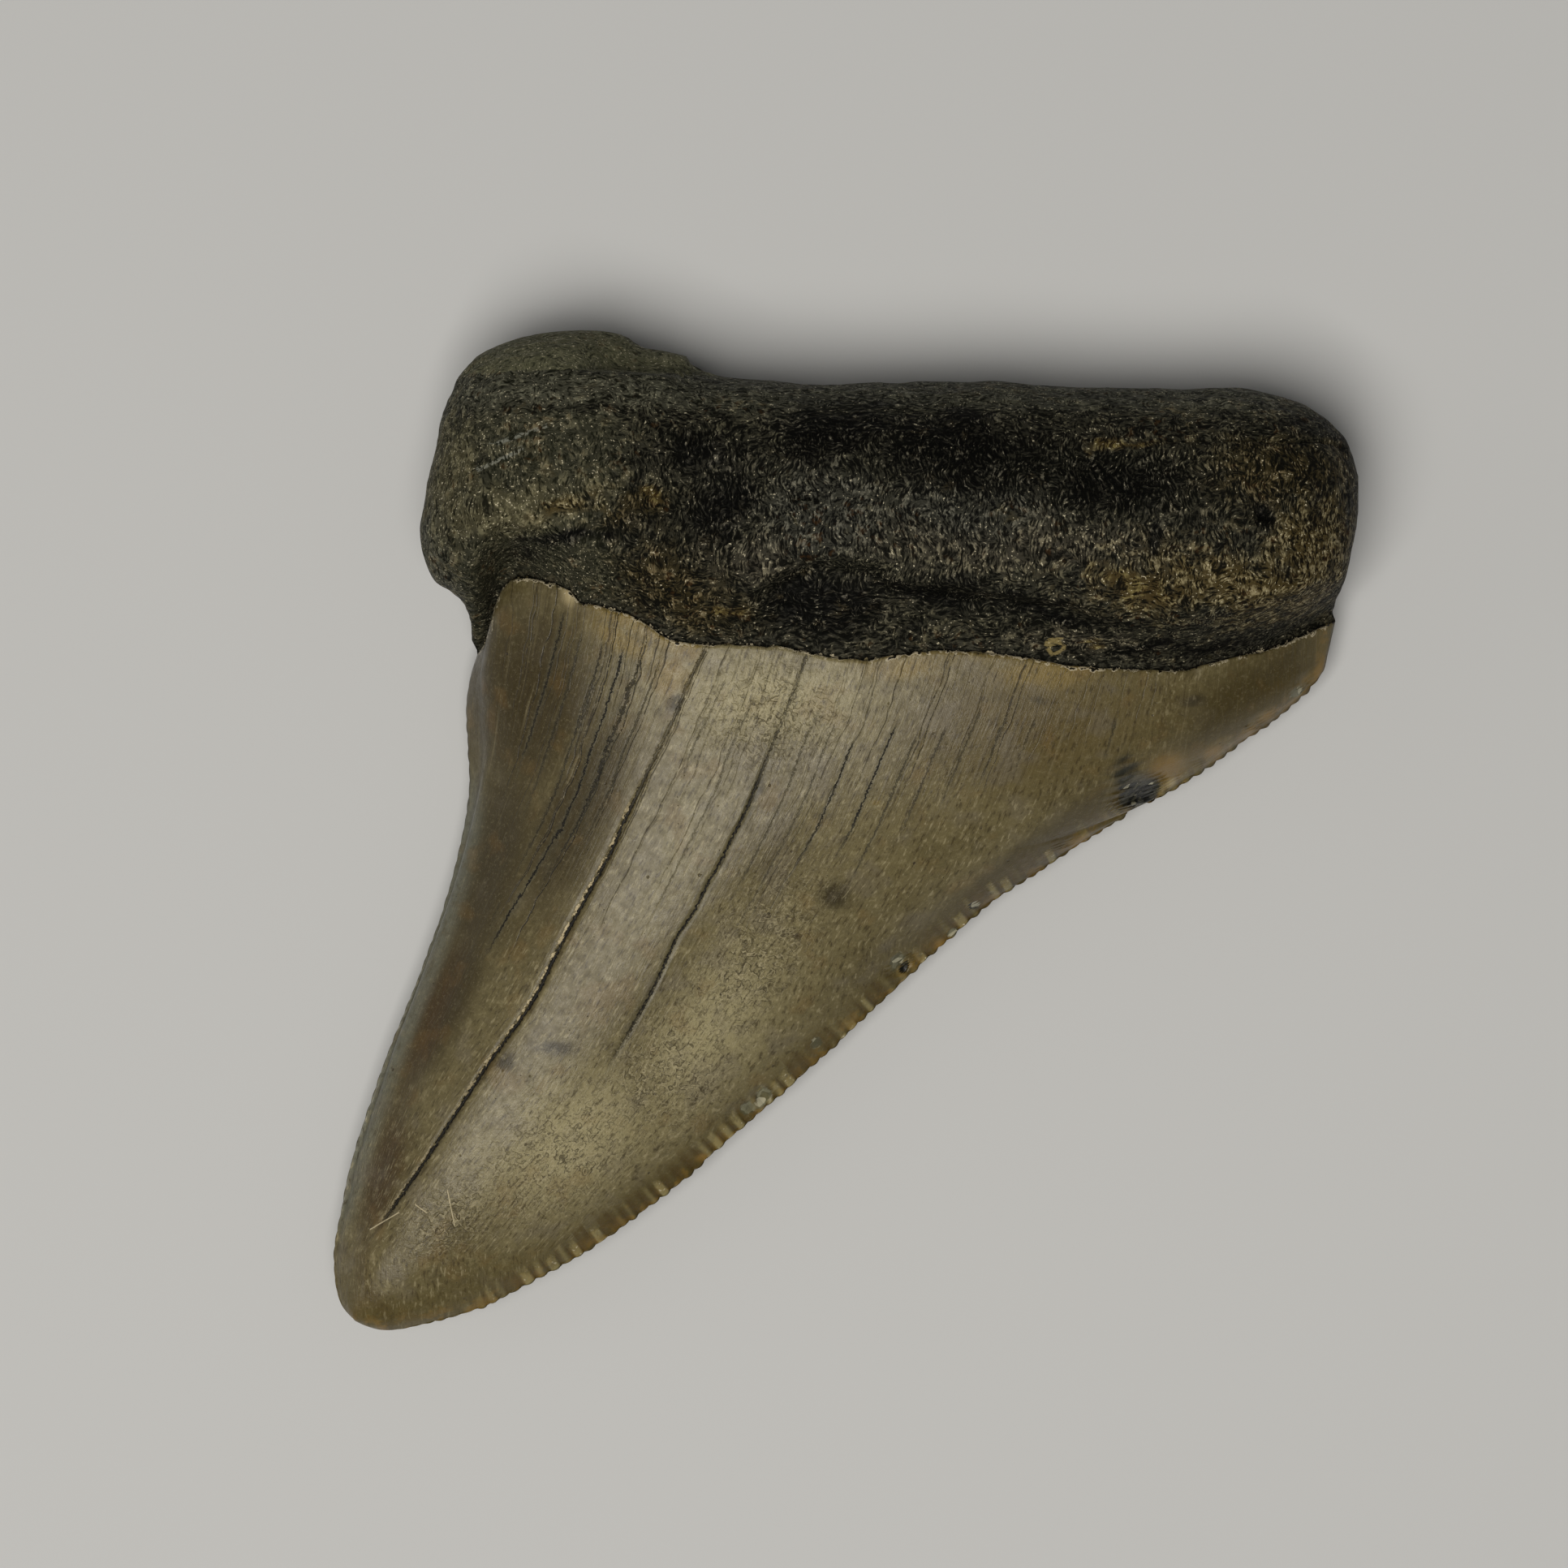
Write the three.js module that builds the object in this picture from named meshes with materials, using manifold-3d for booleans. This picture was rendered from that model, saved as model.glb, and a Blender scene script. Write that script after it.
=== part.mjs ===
// A fossil shark tooth, lying on its flat outer face with the swollen inner face up.
// Millimetres. +Z is up, +Y runs from the tip to the root, and +X to the long cutting edge.
// The origin is at the middle of the tooth's outline, on the surface that it lies on.

import * as THREE from "three";
import { mergeVertices } from "three/addons/utils/BufferGeometryUtils.js";
import Module from "manifold-3d";

const wasm = await Module();
wasm.setup();

// Heights of the crown's faces, which meet in the two cutting edges and grow apart from the tip
const EDGE_HEIGHT = 2.8; // the cutting edges above the ground, at the root
const TIP_LIFT = 0.8; // how much higher the edges run at the tip
const CROWN_SWELL = 8.9; // the inner face above the edges, at the root
const CROWN_BELLY = 3.5; // the outer face below the edges, at the root
const SWELL_POWER = 0.6; // below 1, the crown thickens quickly behind the tip
const CREST = 0.38; // the crown's highest line, as a share of its width from the short edge

// Sections of the crown: high powers make a full face with steep edges
const TIP_SECTION = { sidePower: 2, edgePower: 1.35 };
const FOOT_SECTION = { sidePower: 3, edgePower: 0.9 };
const OUTER_SECTION = { sidePower: 2.4, edgePower: 0.8 };
const FULLER_FROM = 0.55; // share of the way from the tip where the inner face grows fuller

// Heights of the root
const ROOT_HEIGHT = 13.5;
const ROOT_RIM_HEIGHT = 6.4; // where the root's side is widest
const ROOT_ROUNDING = 5.2; // how far in the rounding of the root's border reaches
const ROOT_SLOPE = 0.09; // how fast the root falls behind its swelling
const RIM_FOOT = 0.24; // shares of the root's length over which its border and its two faces
const INNER_FOOT = 0.22; // rise from the crown's foot
const OUTER_FOOT = 0.2;
const ENAMEL_STEP = 0.35; // the enamel stands this proud of the root
const FLAT_SPOT = new THREE.Vector2(-0.5, 9); // the middle of the worn flat that it rests on
const FLAT_SPOT_DEPTH = 0.3;
const OUTER_RISE_X = 0.0032; // how the outer face curves up around the flat spot
const OUTER_RISE_Y = 0.0045;

// The crown's cutting edges, from the tip to the root
const SHORT_EDGE = [
  [-26.94, -26.9],
  [-27.75, -25.9],
  [-28.1, -24.1],
  [-27.97, -21.85],
  [-27.12, -18.05],
  [-25.87, -14.05],
  [-24.35, -10.0],
  [-22.75, -6.0],
  [-21.7, -2.7],
  [-21.05, 0.0],
  [-20.68, 2.3],
  [-20.8, 4.6],
  [-20.92, 7.0],
  [-20.6, 8.7],
  [-20.25, 9.8],
];
const LONG_EDGE = [
  [-26.94, -26.9],
  [-25.5, -27.4],
  [-23.4, -27.2],
  [-20.5, -26.4],
  [-17.0, -24.7],
  [-13.4, -22.6],
  [-9.8, -20.0],
  [-6.3, -16.9],
  [-2.7, -13.8],
  [0.9, -10.5],
  [4.5, -7.1],
  [8.0, -4.05],
  [11.6, -1.65],
  [14.8, 0.35],
  [15.7, 1.45],
  [17.1, 1.8],
  [19.8, 3.35],
  [22.3, 5.15],
  [24.1, 6.4],
  [25.5, 7.6],
  [26.4, 8.8],
  [26.7, 9.9],
  [27.1, 11.65],
];

// The root's border, in three stretches
const ROOT_LEFT = [
  [-20.25, 9.8],
  [-20.65, 12.2],
  [-21.4, 13.15],
  [-22.3, 13.65],
  [-23.05, 14.8],
  [-23.3, 16.6],
  [-22.9, 18.9],
  [-22.4, 21.2],
  [-21.9, 23.0],
  [-21.15, 24.7],
];
const ROOT_TOP = [
  [-21.15, 24.7],
  [-20.1, 25.9],
  [-18.3, 26.8],
  [-16.1, 27.3],
  [-13.7, 27.4],
  [-12.1, 27.1],
  [-11.1, 26.55],
  [-9.9, 26.4],
  [-8.75, 26.1],
  [-8.15, 25.35],
  [-6.9, 24.95],
  [-4.5, 24.7],
  [-1.5, 24.5],
  [3.0, 24.5],
  [7.8, 24.6],
  [11.6, 24.4],
  [15.2, 24.15],
  [18.3, 24.2],
  [20.5, 24.3],
  [22.5, 24.15],
  [24.5, 23.6],
  [26.1, 22.7],
];
const ROOT_RIGHT = [
  [27.1, 11.65],
  [27.05, 12.4],
  [27.6, 14.7],
  [27.95, 17.0],
  [28.05, 18.8],
  [27.8, 20.2],
  [27.2, 21.5],
  [26.1, 22.7],
];

// Where the enamel ends, on the inner and on the outer face
const INNER_ENAMEL_LINE = [
  [-20.25, 9.8],
  [-19.5, 10.9],
  [-19.2, 12.2],
  [-18.7, 13.3],
  [-17.9, 13.9],
  [-16.6, 13.65],
  [-15.1, 13.2],
  [-14.6, 12.45],
  [-13.4, 12.25],
  [-11.9, 11.85],
  [-10.3, 11.0],
  [-8.9, 10.25],
  [-6.5, 10.2],
  [-4.0, 10.1],
  [-1.2, 9.6],
  [1.4, 9.35],
  [4.0, 9.75],
  [7.1, 9.75],
  [9.8, 9.45],
  [12.3, 8.95],
  [15.0, 8.85],
  [17.8, 8.8],
  [20.5, 9.3],
  [23.2, 10.05],
  [25.3, 10.8],
  [27.1, 11.65],
];
const OUTER_ENAMEL_LINE = [
  [-20.25, 9.8],
  [-17.5, 12.6],
  [-12.0, 14.4],
  [-5.0, 14.3],
  [2.0, 13.7],
  [9.0, 14.1],
  [16.0, 14.3],
  [22.5, 13.4],
  [27.1, 11.65],
];

// The lip under the root's swelling, which overhangs the worn band above the enamel
const LIP = [
  [-5.4, 11.6],
  [-3.3, 13.6],
  [-0.3, 14.3],
  [4.1, 13.2],
  [9.7, 12.3],
  [14.0, 11.3],
  [18.0, 10.4],
];
const LIP_DEPTH = 1.3;
const LIP_SOFTNESS = 0.5;
const LIP_FADE_FROM = 13; // the lip dies out between these two places in X
const LIP_FADE_TO = 18;

// Broad swellings and hollows of the root's inner face
const ROOT_RELIEF = [
  { name: "middle swelling", x: 2.5, y: 17.2, reachX: 9.0, reachY: 4.5, height: 1.0 },
  { name: "left lobe", x: -15.5, y: 19.5, reachX: 6.0, reachY: 5.5, height: 0.7 },
  { name: "right lobe", x: 19.0, y: 16.5, reachX: 7.5, reachY: 4.5, height: 0.5 },
  { name: "saddle by the left lobe", x: -7.5, y: 18.0, reachX: 3.2, reachY: 5.0, height: -1.1 },
  { name: "furrow of the right lobe", x: 12.5, y: 20.3, reachX: 5.0, reachY: 1.6, height: -0.5 },
];

// The ledge at the top of the left lobe, where the surface in front of it has flaked away
const LEDGE = { y: 24.9, fromX: -15.6, fullX: -12.4, fallX: -8.6, toX: -7.6, drop: 2.6, softness: 0.2 };

// Open cracks of the crown, from the enamel line towards the tip
const CRACKS = [
  {
    reach: 0.42, // to each side and in depth
    points: [
      [-8.5, 9.2],
      [-9.2, 6.5],
      [-11.6, 1.8],
      [-15.2, -5.5],
      [-18.8, -11.6],
      [-22.1, -16.5],
      [-25.2, -21.2],
    ],
  },
  {
    reach: 0.3,
    points: [
      [-2.2, 9.0],
      [-2.9, 6.9],
      [-4.9, 2.3],
      [-8.1, -3.8],
      [-11.0, -9.1],
      [-13.4, -14.0],
    ],
  },
];
const CRACK_STEPS = 14;

// Pits, and chips in the long edge, each scooped out by a squashed ball
const SCOOPS = [
  { name: "nutrient hole", x: -2.25, y: 18.1, reach: [0.45, 0.35, 0.8] },
  { name: "slot", x: 22.3, y: 17.2, reach: [0.35, 0.75, 0.9] },
  { name: "ring pit", x: 11.2, y: 10.3, reach: [0.55, 0.5, 0.6] },
  { name: "chip", x: 15.7, y: 2.3, reach: [1.5, 1.3, 0.9] },
  { name: "small chip", x: 3.3, y: -7.4, reach: [0.7, 0.5, 0.5] },
];

// Serrations of the two cutting edges: each tooth's length and height
const LONG_SERRATION = { pitch: 0.76, height: 0.32 };
const SHORT_SERRATION = { pitch: 0.9, height: 0.2 };
const SERRATED_FROM = 0.05; // in shares of an edge from the tip
const SERRATED_TO = 0.97;
const SERRATION_FADE = 0.03;
const SERRATION_INSET = 0.7; // share of a tooth's height that lies inside the measured outline
const POINTS_PER_SERRATION = 4;

// Mesh density. A crowding of 1 packs rows or columns closely at both ends, and 0 spaces them evenly.
const COLUMNS = 26;
const COLUMN_CROWDING = 0.75;
const CROWN_ROWS = 40;
const CROWN_CROWDING = 0.3;
const ROOT_ROWS = 16;
const ROOT_CROWDING = 0.6;
const ENAMEL_STEP_RUN = 0.1; // the enamel's step takes this share of the first root row
const BORDER_STEPS = 70;
const WELD = 1e-4;

const { clamp, lerp, smoothstep } = THREE.MathUtils;

function curveThrough(points) {
  const curve = new THREE.SplineCurve(points.map(([x, y]) => new THREE.Vector2(x, y)));
  curve.arcLengthDivisions = 600;
  return curve;
}

// The side is 1 where the outside is on the right of the way to the root, and -1 on the left.
const shortEdge = { curve: curveThrough(SHORT_EDGE), side: -1, ...SHORT_SERRATION };
const longEdge = { curve: curveThrough(LONG_EDGE), side: 1, ...LONG_SERRATION };
const rootLeft = curveThrough(ROOT_LEFT);
const rootTop = curveThrough(ROOT_TOP);
const rootRight = curveThrough(ROOT_RIGHT);
const rootSides = [rootLeft, rootTop, rootRight].map((curve) => curve.getSpacedPoints(BORDER_STEPS));
const lipLine = curveThrough(LIP).getSpacedPoints(BORDER_STEPS);

// The distance from a point to the nearest stretch of a line of points.
function distanceTo(line, point) {
  let least = Infinity;
  for (let i = 0; i + 1 < line.length; i++) {
    const along = line[i + 1].clone().sub(line[i]);
    const share = point.clone().sub(line[i]).dot(along) / along.lengthSq();
    const nearest = line[i].clone().addScaledVector(along, clamp(share, 0, 1));
    least = Math.min(least, nearest.distanceTo(point));
  }
  return least;
}

// A cutting edge's point, at a share of its teeth's height above the gaps between them.
function edgePoint({ curve, side, height }, along, share) {
  const begin = smoothstep(along, SERRATED_FROM - SERRATION_FADE, SERRATED_FROM + SERRATION_FADE);
  const end = 1 - smoothstep(along, SERRATED_TO - SERRATION_FADE, SERRATED_TO);
  const tangent = curve.getTangentAt(along);
  const outward = new THREE.Vector2(tangent.y, -tangent.x).multiplyScalar(side);
  return curve.getPointAt(along).addScaledVector(outward, height * begin * end * (share - SERRATION_INSET));
}

// A cutting edge's point with its serrations, which are round teeth with sharp gaps.
function serratedPoint(edge, along) {
  const share = Math.abs(Math.sin((Math.PI * along * edge.curve.getLength()) / edge.pitch));
  const { x, y } = edgePoint(edge, along, share);
  return new THREE.Vector3(x, y, edgeHeight(along));
}

// A crown point: on a straight line from edge to edge, bent towards the root as the enamel line is.
function crownPoint(across, along, enamelLine) {
  const straight = edgePoint(shortEdge, along, 0).lerp(edgePoint(longEdge, along, 0), across);
  const chord = enamelLine.getPointAt(0).lerp(enamelLine.getPointAt(1), across);
  const bend = enamelLine.getPointAt(across).sub(chord);
  return straight.addScaledVector(bend, along);
}

// A root point: blended between the enamel line and the top, and between the left and right sides.
function rootPoint(across, up, enamelLine) {
  const between = enamelLine.getPointAt(across).lerp(rootTop.getPointAt(across), up);
  const leftChord = enamelLine.getPointAt(0).lerp(rootTop.getPointAt(0), up);
  const rightChord = enamelLine.getPointAt(1).lerp(rootTop.getPointAt(1), up);
  const leftBulge = rootLeft.getPointAt(up).sub(leftChord);
  const rightBulge = rootRight.getPointAt(up).sub(rightChord);
  return between.addScaledVector(leftBulge, 1 - across).addScaledVector(rightBulge, across);
}

const edgeHeight = (along) => EDGE_HEIGHT + TIP_LIFT * (1 - along) ** 2;
const rimHeight = (up) => lerp(EDGE_HEIGHT, ROOT_RIM_HEIGHT, smoothstep(up, 0, RIM_FOOT));

// A quarter circle: 0 on the root's border, and 1 from the rounding's reach inwards.
function rounding(across, up, point) {
  if (across === 0 || across === 1 || up === 1) return 0;
  const away = Math.min(...rootSides.map((side) => distanceTo(side, point)));
  return Math.sqrt(1 - (1 - clamp(away / ROOT_ROUNDING, 0, 1)) ** 2);
}

// The crown's inner face: a lens with its crest off the middle. It is hollow towards the edges,
// and full at the root.
function crownInner(across, along) {
  const side = across < CREST ? 1 - across / CREST : (across - CREST) / (1 - CREST);
  const fullness = smoothstep(along, FULLER_FROM, 1);
  const sidePower = lerp(TIP_SECTION.sidePower, FOOT_SECTION.sidePower, fullness);
  const edgePower = lerp(TIP_SECTION.edgePower, FOOT_SECTION.edgePower, fullness);
  const lens = (1 - side ** sidePower) ** edgePower;
  return edgeHeight(along) + CROWN_SWELL * along ** SWELL_POWER * lens;
}

// The crown's outer face: a shallow belly that reaches the ground near the root.
function crownOuter(across, along) {
  const side = Math.abs(2 * across - 1);
  const lens = (1 - side ** OUTER_SECTION.sidePower) ** OUTER_SECTION.edgePower;
  return edgeHeight(along) - CROWN_BELLY * along ** SWELL_POWER * lens;
}

// How far the surface lies below the root's swelling at a point beneath the lip.
function lipStep({ x, y }) {
  if (x <= LIP[0][0] || x >= LIP_FADE_TO) return 0;
  const next = lipLine.findIndex((p) => p.x > x);
  const [a, b] = [lipLine[next - 1], lipLine[next]];
  const lipY = lerp(a.y, b.y, (x - a.x) / (b.x - a.x));
  const ends = smoothstep(x, LIP[0][0], LIP[1][0]) * (1 - smoothstep(x, LIP_FADE_FROM, LIP_FADE_TO));
  return LIP_DEPTH * ends * (1 - smoothstep(y - lipY, -LIP_SOFTNESS, LIP_SOFTNESS));
}

function ledgeStep({ x, y }) {
  const ends = smoothstep(x, LEDGE.fromX, LEDGE.fullX) * (1 - smoothstep(x, LEDGE.fallX, LEDGE.toX));
  return LEDGE.drop * ends * smoothstep(y, LEDGE.y - LEDGE.softness, LEDGE.y + LEDGE.softness);
}

// The root's inner face: swellings, the lip and the ledge, rounded down to its border.
function rootInner(across, up, point) {
  const relief = ROOT_RELIEF.reduce((sum, { x, y, reachX, reachY, height }) => {
    const away = ((point.x - x) / reachX) ** 2 + ((point.y - y) / reachY) ** 2;
    return sum + height * Math.exp(-away);
  }, 0);
  const slope = ROOT_SLOPE * Math.max(0, point.y - ROOT_RELIEF[0].y);
  const body = ROOT_HEIGHT + relief - slope - lipStep(point) - ledgeStep(point);
  const foot = crownInner(across, 1) - ENAMEL_STEP;
  const rim = rimHeight(up);
  const face = lerp(foot, body, smoothstep(up, 0, INNER_FOOT));
  return rim + (face - rim) * rounding(across, up, point);
}

// The root's outer face: a very shallow bowl, cut level where it rests.
function rootOuter(across, up, point) {
  const away = point.clone().sub(FLAT_SPOT);
  const body = OUTER_RISE_X * away.x ** 2 + OUTER_RISE_Y * away.y ** 2 - FLAT_SPOT_DEPTH;
  const foot = crownOuter(across, 1) + ENAMEL_STEP;
  const rim = rimHeight(up);
  const face = lerp(foot, body, smoothstep(up, 0, OUTER_FOOT));
  return rim + (face - rim) * rounding(across, up, point);
}

// The cutting edge's points between two rows, one on each quarter of a serration.
function pointsBetween(edge, from, to) {
  const step = edge.pitch / POINTS_PER_SERRATION / edge.curve.getLength();
  const margin = step / 4;
  const first = Math.ceil((from + margin) / step);
  const last = Math.floor((to - margin) / step);
  const count = Math.max(0, last - first + 1);
  return Array.from({ length: count }, (_, i) => serratedPoint(edge, (first + i) * step));
}

// Places from 0 to 1, closer together towards both ends.
function places(count, crowding) {
  return Array.from({ length: count + 1 }, (_, i) => {
    const even = i / count;
    return lerp(even, (1 - Math.cos(Math.PI * even)) / 2, crowding);
  });
}

const crownPlaces = places(CROWN_ROWS, CROWN_CROWDING);
const edgeDetail = [shortEdge, longEdge].map((edge) =>
  crownPlaces.slice(1).map((along, i) => pointsBetween(edge, crownPlaces[i], along)),
);

// One face as rows of points, from the tip to the top of the root. No point lies below the ground.
function faceRows(enamelLine, crownHeight, rootHeight) {
  const columns = places(COLUMNS, COLUMN_CROWDING);
  const rowOf = (pointAt, heightAt) => (share) =>
    columns.map((across) => {
      const p = pointAt(across, share, enamelLine);
      return new THREE.Vector3(p.x, p.y, Math.max(0, heightAt(across, share, p)));
    });
  const crown = crownPlaces.map(rowOf(crownPoint, crownHeight));
  crown.forEach((row, i) => {
    row[0] = serratedPoint(shortEdge, crownPlaces[i]);
    row[COLUMNS] = serratedPoint(longEdge, crownPlaces[i]);
  });
  const rootPlaces = places(ROOT_ROWS, ROOT_CROWDING);
  rootPlaces[0] = ENAMEL_STEP_RUN * rootPlaces[1];
  return [...crown, ...rootPlaces.map(rowOf(rootPoint, rootHeight))];
}

// Triangles that join a border of any number of points to the two inner points beside it.
function fan(border, near, far) {
  const middle = Math.floor(border.length / 2);
  const corners = [near, border[middle], far];
  for (let i = 0; i + 1 < border.length; i++) {
    corners.push(i < middle ? near : far, border[i], border[i + 1]);
  }
  return corners;
}

// The same triangles, facing the other way.
const turned = (corners) => corners.map((_, i) => corners[3 * Math.floor(i / 3) + ((3 - (i % 3)) % 3)]);

// The inner face's triangles, which look up. The outer face's are the same, turned over.
function faceTriangles(rows) {
  const corners = [];
  for (let i = 0; i + 1 < rows.length; i++) {
    const [row, next] = [rows[i], rows[i + 1]];
    const [shortDetail, longDetail] = edgeDetail.map((detail) => detail[i] ?? []);
    corners.push(...turned(fan([row[0], ...shortDetail, next[0]], row[1], next[1])));
    for (let k = 1; k + 2 < row.length; k++) {
      corners.push(row[k], row[k + 1], next[k + 1], row[k], next[k + 1], next[k]);
    }
    corners.push(...fan([row[COLUMNS], ...longDetail, next[COLUMNS]], row[COLUMNS - 1], next[COLUMNS - 1]));
  }
  return corners;
}

function solidOf(geometry) {
  const bare = geometry.clone();
  bare.deleteAttribute("normal");
  bare.deleteAttribute("uv");
  const merged = mergeVertices(bare, WELD);
  const triangles = Array.from({ length: merged.index.count / 3 }, (_, i) =>
    [0, 1, 2].map((k) => merged.index.getX(3 * i + k)),
  );
  const whole = triangles.filter(([a, b, c]) => a !== b && b !== c && c !== a);
  return new wasm.Manifold(
    new wasm.Mesh({
      numProp: 3,
      vertProperties: new Float32Array(merged.attributes.position.array),
      triVerts: new Uint32Array(whole.flat()),
    }),
  );
}

function geometryOf(solid) {
  const mesh = solid.getMesh();
  const geometry = new THREE.BufferGeometry();
  geometry.setAttribute("position", new THREE.BufferAttribute(mesh.vertProperties, 3));
  geometry.setIndex(new THREE.BufferAttribute(mesh.triVerts, 1));
  geometry.computeVertexNormals();
  return geometry;
}

function bareTooth() {
  const inner = faceRows(curveThrough(INNER_ENAMEL_LINE), crownInner, rootInner);
  const outer = faceRows(curveThrough(OUTER_ENAMEL_LINE), crownOuter, rootOuter);
  const corners = [...faceTriangles(inner), ...turned(faceTriangles(outer))];
  return new THREE.BufferGeometry().setFromPoints(corners);
}

// Gives a function that finds the point of the inner face above a place, looking straight down.
function innerFaceFinder(geometry) {
  const mesh = new THREE.Mesh(geometry);
  const down = new THREE.Vector3(0, 0, -1);
  return (x, y) => {
    const caster = new THREE.Raycaster(new THREE.Vector3(x, y, 2 * ROOT_HEIGHT), down);
    const [hit] = caster.intersectObject(mesh);
    return hit ? hit.point : new THREE.Vector3(x, y, EDGE_HEIGHT);
  };
}

// The cutter of a groove: a diamond carried along the crack, half sunk in the face.
function crackCutter({ reach, points }, faceAt) {
  const flatRoute = curveThrough(points).getSpacedPoints(CRACK_STEPS);
  const route = new THREE.CatmullRomCurve3(flatRoute.map(({ x, y }) => faceAt(x, y)));
  const quarters = [0, 0.5, 1, 1.5].map((turn) => turn * Math.PI);
  const corners = quarters.map((angle) => new THREE.Vector2(Math.cos(angle), Math.sin(angle)));
  const section = new THREE.Shape(corners.map((corner) => corner.multiplyScalar(reach)));
  return solidOf(new THREE.ExtrudeGeometry(section, { steps: CRACK_STEPS, extrudePath: route }));
}

function scoop({ x, y, reach }, faceAt) {
  const ball = new THREE.SphereGeometry(1, 9, 6);
  ball.scale(...reach);
  const place = faceAt(x, y);
  ball.translate(place.x, place.y, place.z);
  return solidOf(ball);
}

function toothGeometry() {
  const bare = bareTooth();
  const faceAt = innerFaceFinder(bare);
  const cracked = CRACKS.reduce((solid, crack) => solid.subtract(crackCutter(crack, faceAt)), solidOf(bare));
  return geometryOf(SCOOPS.reduce((solid, pit) => solid.subtract(scoop(pit, faceAt)), cracked));
}

const fossil = new THREE.MeshStandardMaterial({ color: "#86807a", roughness: 0.45, metalness: 0 });
const tooth = new THREE.Mesh(toothGeometry(), fossil);
tooth.name = "tooth";

const part = new THREE.Group();
part.add(tooth);

export default part;
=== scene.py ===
# %% [markdown]
# A fossil shark tooth, photographed from straight above as it lies on its flat outer face.
# The frame holds one CAD node, `tooth`, at its real size. This lesson dresses it: it works out a fine
# surface from the same outlines, presses cracks, chips and pores into it, and paints enamel and bone.

# %% Load the frame
import functools
import itertools

import bpy
import numpy as np
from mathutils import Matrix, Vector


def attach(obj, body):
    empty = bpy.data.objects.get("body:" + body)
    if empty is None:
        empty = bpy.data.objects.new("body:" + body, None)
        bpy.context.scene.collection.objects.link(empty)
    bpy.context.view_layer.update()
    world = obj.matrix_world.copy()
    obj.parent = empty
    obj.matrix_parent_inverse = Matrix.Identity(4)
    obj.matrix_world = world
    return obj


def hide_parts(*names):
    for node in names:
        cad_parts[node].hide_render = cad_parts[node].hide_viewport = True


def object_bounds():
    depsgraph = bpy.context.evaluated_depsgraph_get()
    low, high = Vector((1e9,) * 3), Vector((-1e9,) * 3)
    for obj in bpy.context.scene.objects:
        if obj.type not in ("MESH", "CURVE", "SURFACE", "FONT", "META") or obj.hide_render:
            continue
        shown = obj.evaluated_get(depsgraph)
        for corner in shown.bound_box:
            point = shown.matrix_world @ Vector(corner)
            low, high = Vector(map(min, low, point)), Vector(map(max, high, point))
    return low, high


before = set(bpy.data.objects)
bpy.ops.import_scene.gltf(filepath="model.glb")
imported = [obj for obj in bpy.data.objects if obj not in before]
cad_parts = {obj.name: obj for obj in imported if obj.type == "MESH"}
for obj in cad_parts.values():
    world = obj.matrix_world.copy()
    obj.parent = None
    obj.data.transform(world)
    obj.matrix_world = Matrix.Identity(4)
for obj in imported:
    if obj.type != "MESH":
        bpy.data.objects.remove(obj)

MM = 0.001
cad_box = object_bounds()
print("frame nodes:", sorted(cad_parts), "box:", cad_box)

# %% [markdown]
# Everything below is worked out in millimetres with numpy, for whole arrays of points at once. Three
# small tools come first: a soft step, a smooth curve through a few points, and the distance to a line.

# %% Numbers and curves


def smoothstep(low, high, x):
    """0 at low and 1 at high, whichever is larger. Between them, 3t^2 - 2t^3 of the share t of the way."""
    t = np.clip((x - low) / (high - low), 0, 1)
    return t * t * (3 - 2 * t)


def mix(a, b, t):
    """The value a share t of the way from a to b."""
    return a + (b - a) * t


def curve_through(points, steps=60):
    """A Catmull-Rom curve: between two points, the cubic whose slope at each of them is half the way
    between its two neighbours. It is kept as a fine line, with each point's share of the length."""
    p = np.asarray(points, float)
    before, start, end, after = p[np.r_[0, : len(p) - 2]], p[:-1], p[1:], p[np.r_[2 : len(p), len(p) - 1]]
    v0, v1 = (end - before) / 2, (after - start) / 2
    t = np.linspace(0, 1, steps, endpoint=False)[:, None, None]
    cubic = ((2 * start - 2 * end + v0 + v1) * t**3 + (3 * end - 3 * start - 2 * v0 - v1) * t**2
             + v0 * t + start)
    line = np.vstack([cubic.transpose(1, 0, 2).reshape(-1, 2), p[-1:]])
    run = np.r_[0, np.cumsum(np.linalg.norm(np.diff(line, axis=0), axis=1))]
    return {"line": line, "share": run / run[-1], "length": run[-1]}


def place_on(curve, share):
    """The curve's points at these shares of its length."""
    return np.stack([np.interp(share, curve["share"], curve["line"][:, k]) for k in (0, 1)], axis=-1)


def outward_of(curve, share, side):
    """The curve's unit normal in the plane: to its right where side is 1, and to its left where it is -1."""
    step = 0.002
    along = place_on(curve, share + step) - place_on(curve, share - step)
    along /= np.linalg.norm(along, axis=-1, keepdims=True)
    return side * np.stack([along[..., 1], -along[..., 0]], axis=-1)


def distance_to(line, x, y):
    """The distance from each point to the nearest stretch of a line, one stretch after another."""
    least = np.full(x.shape, np.inf)
    for (ax, ay), (bx, by) in zip(line[:-1], line[1:]):
        dx, dy = bx - ax, by - ay
        share = np.clip(((x - ax) * dx + (y - ay) * dy) / (dx * dx + dy * dy), 0, 1)
        least = np.minimum(least, np.hypot(x - ax - share * dx, y - ay - share * dy))
    return least


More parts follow.
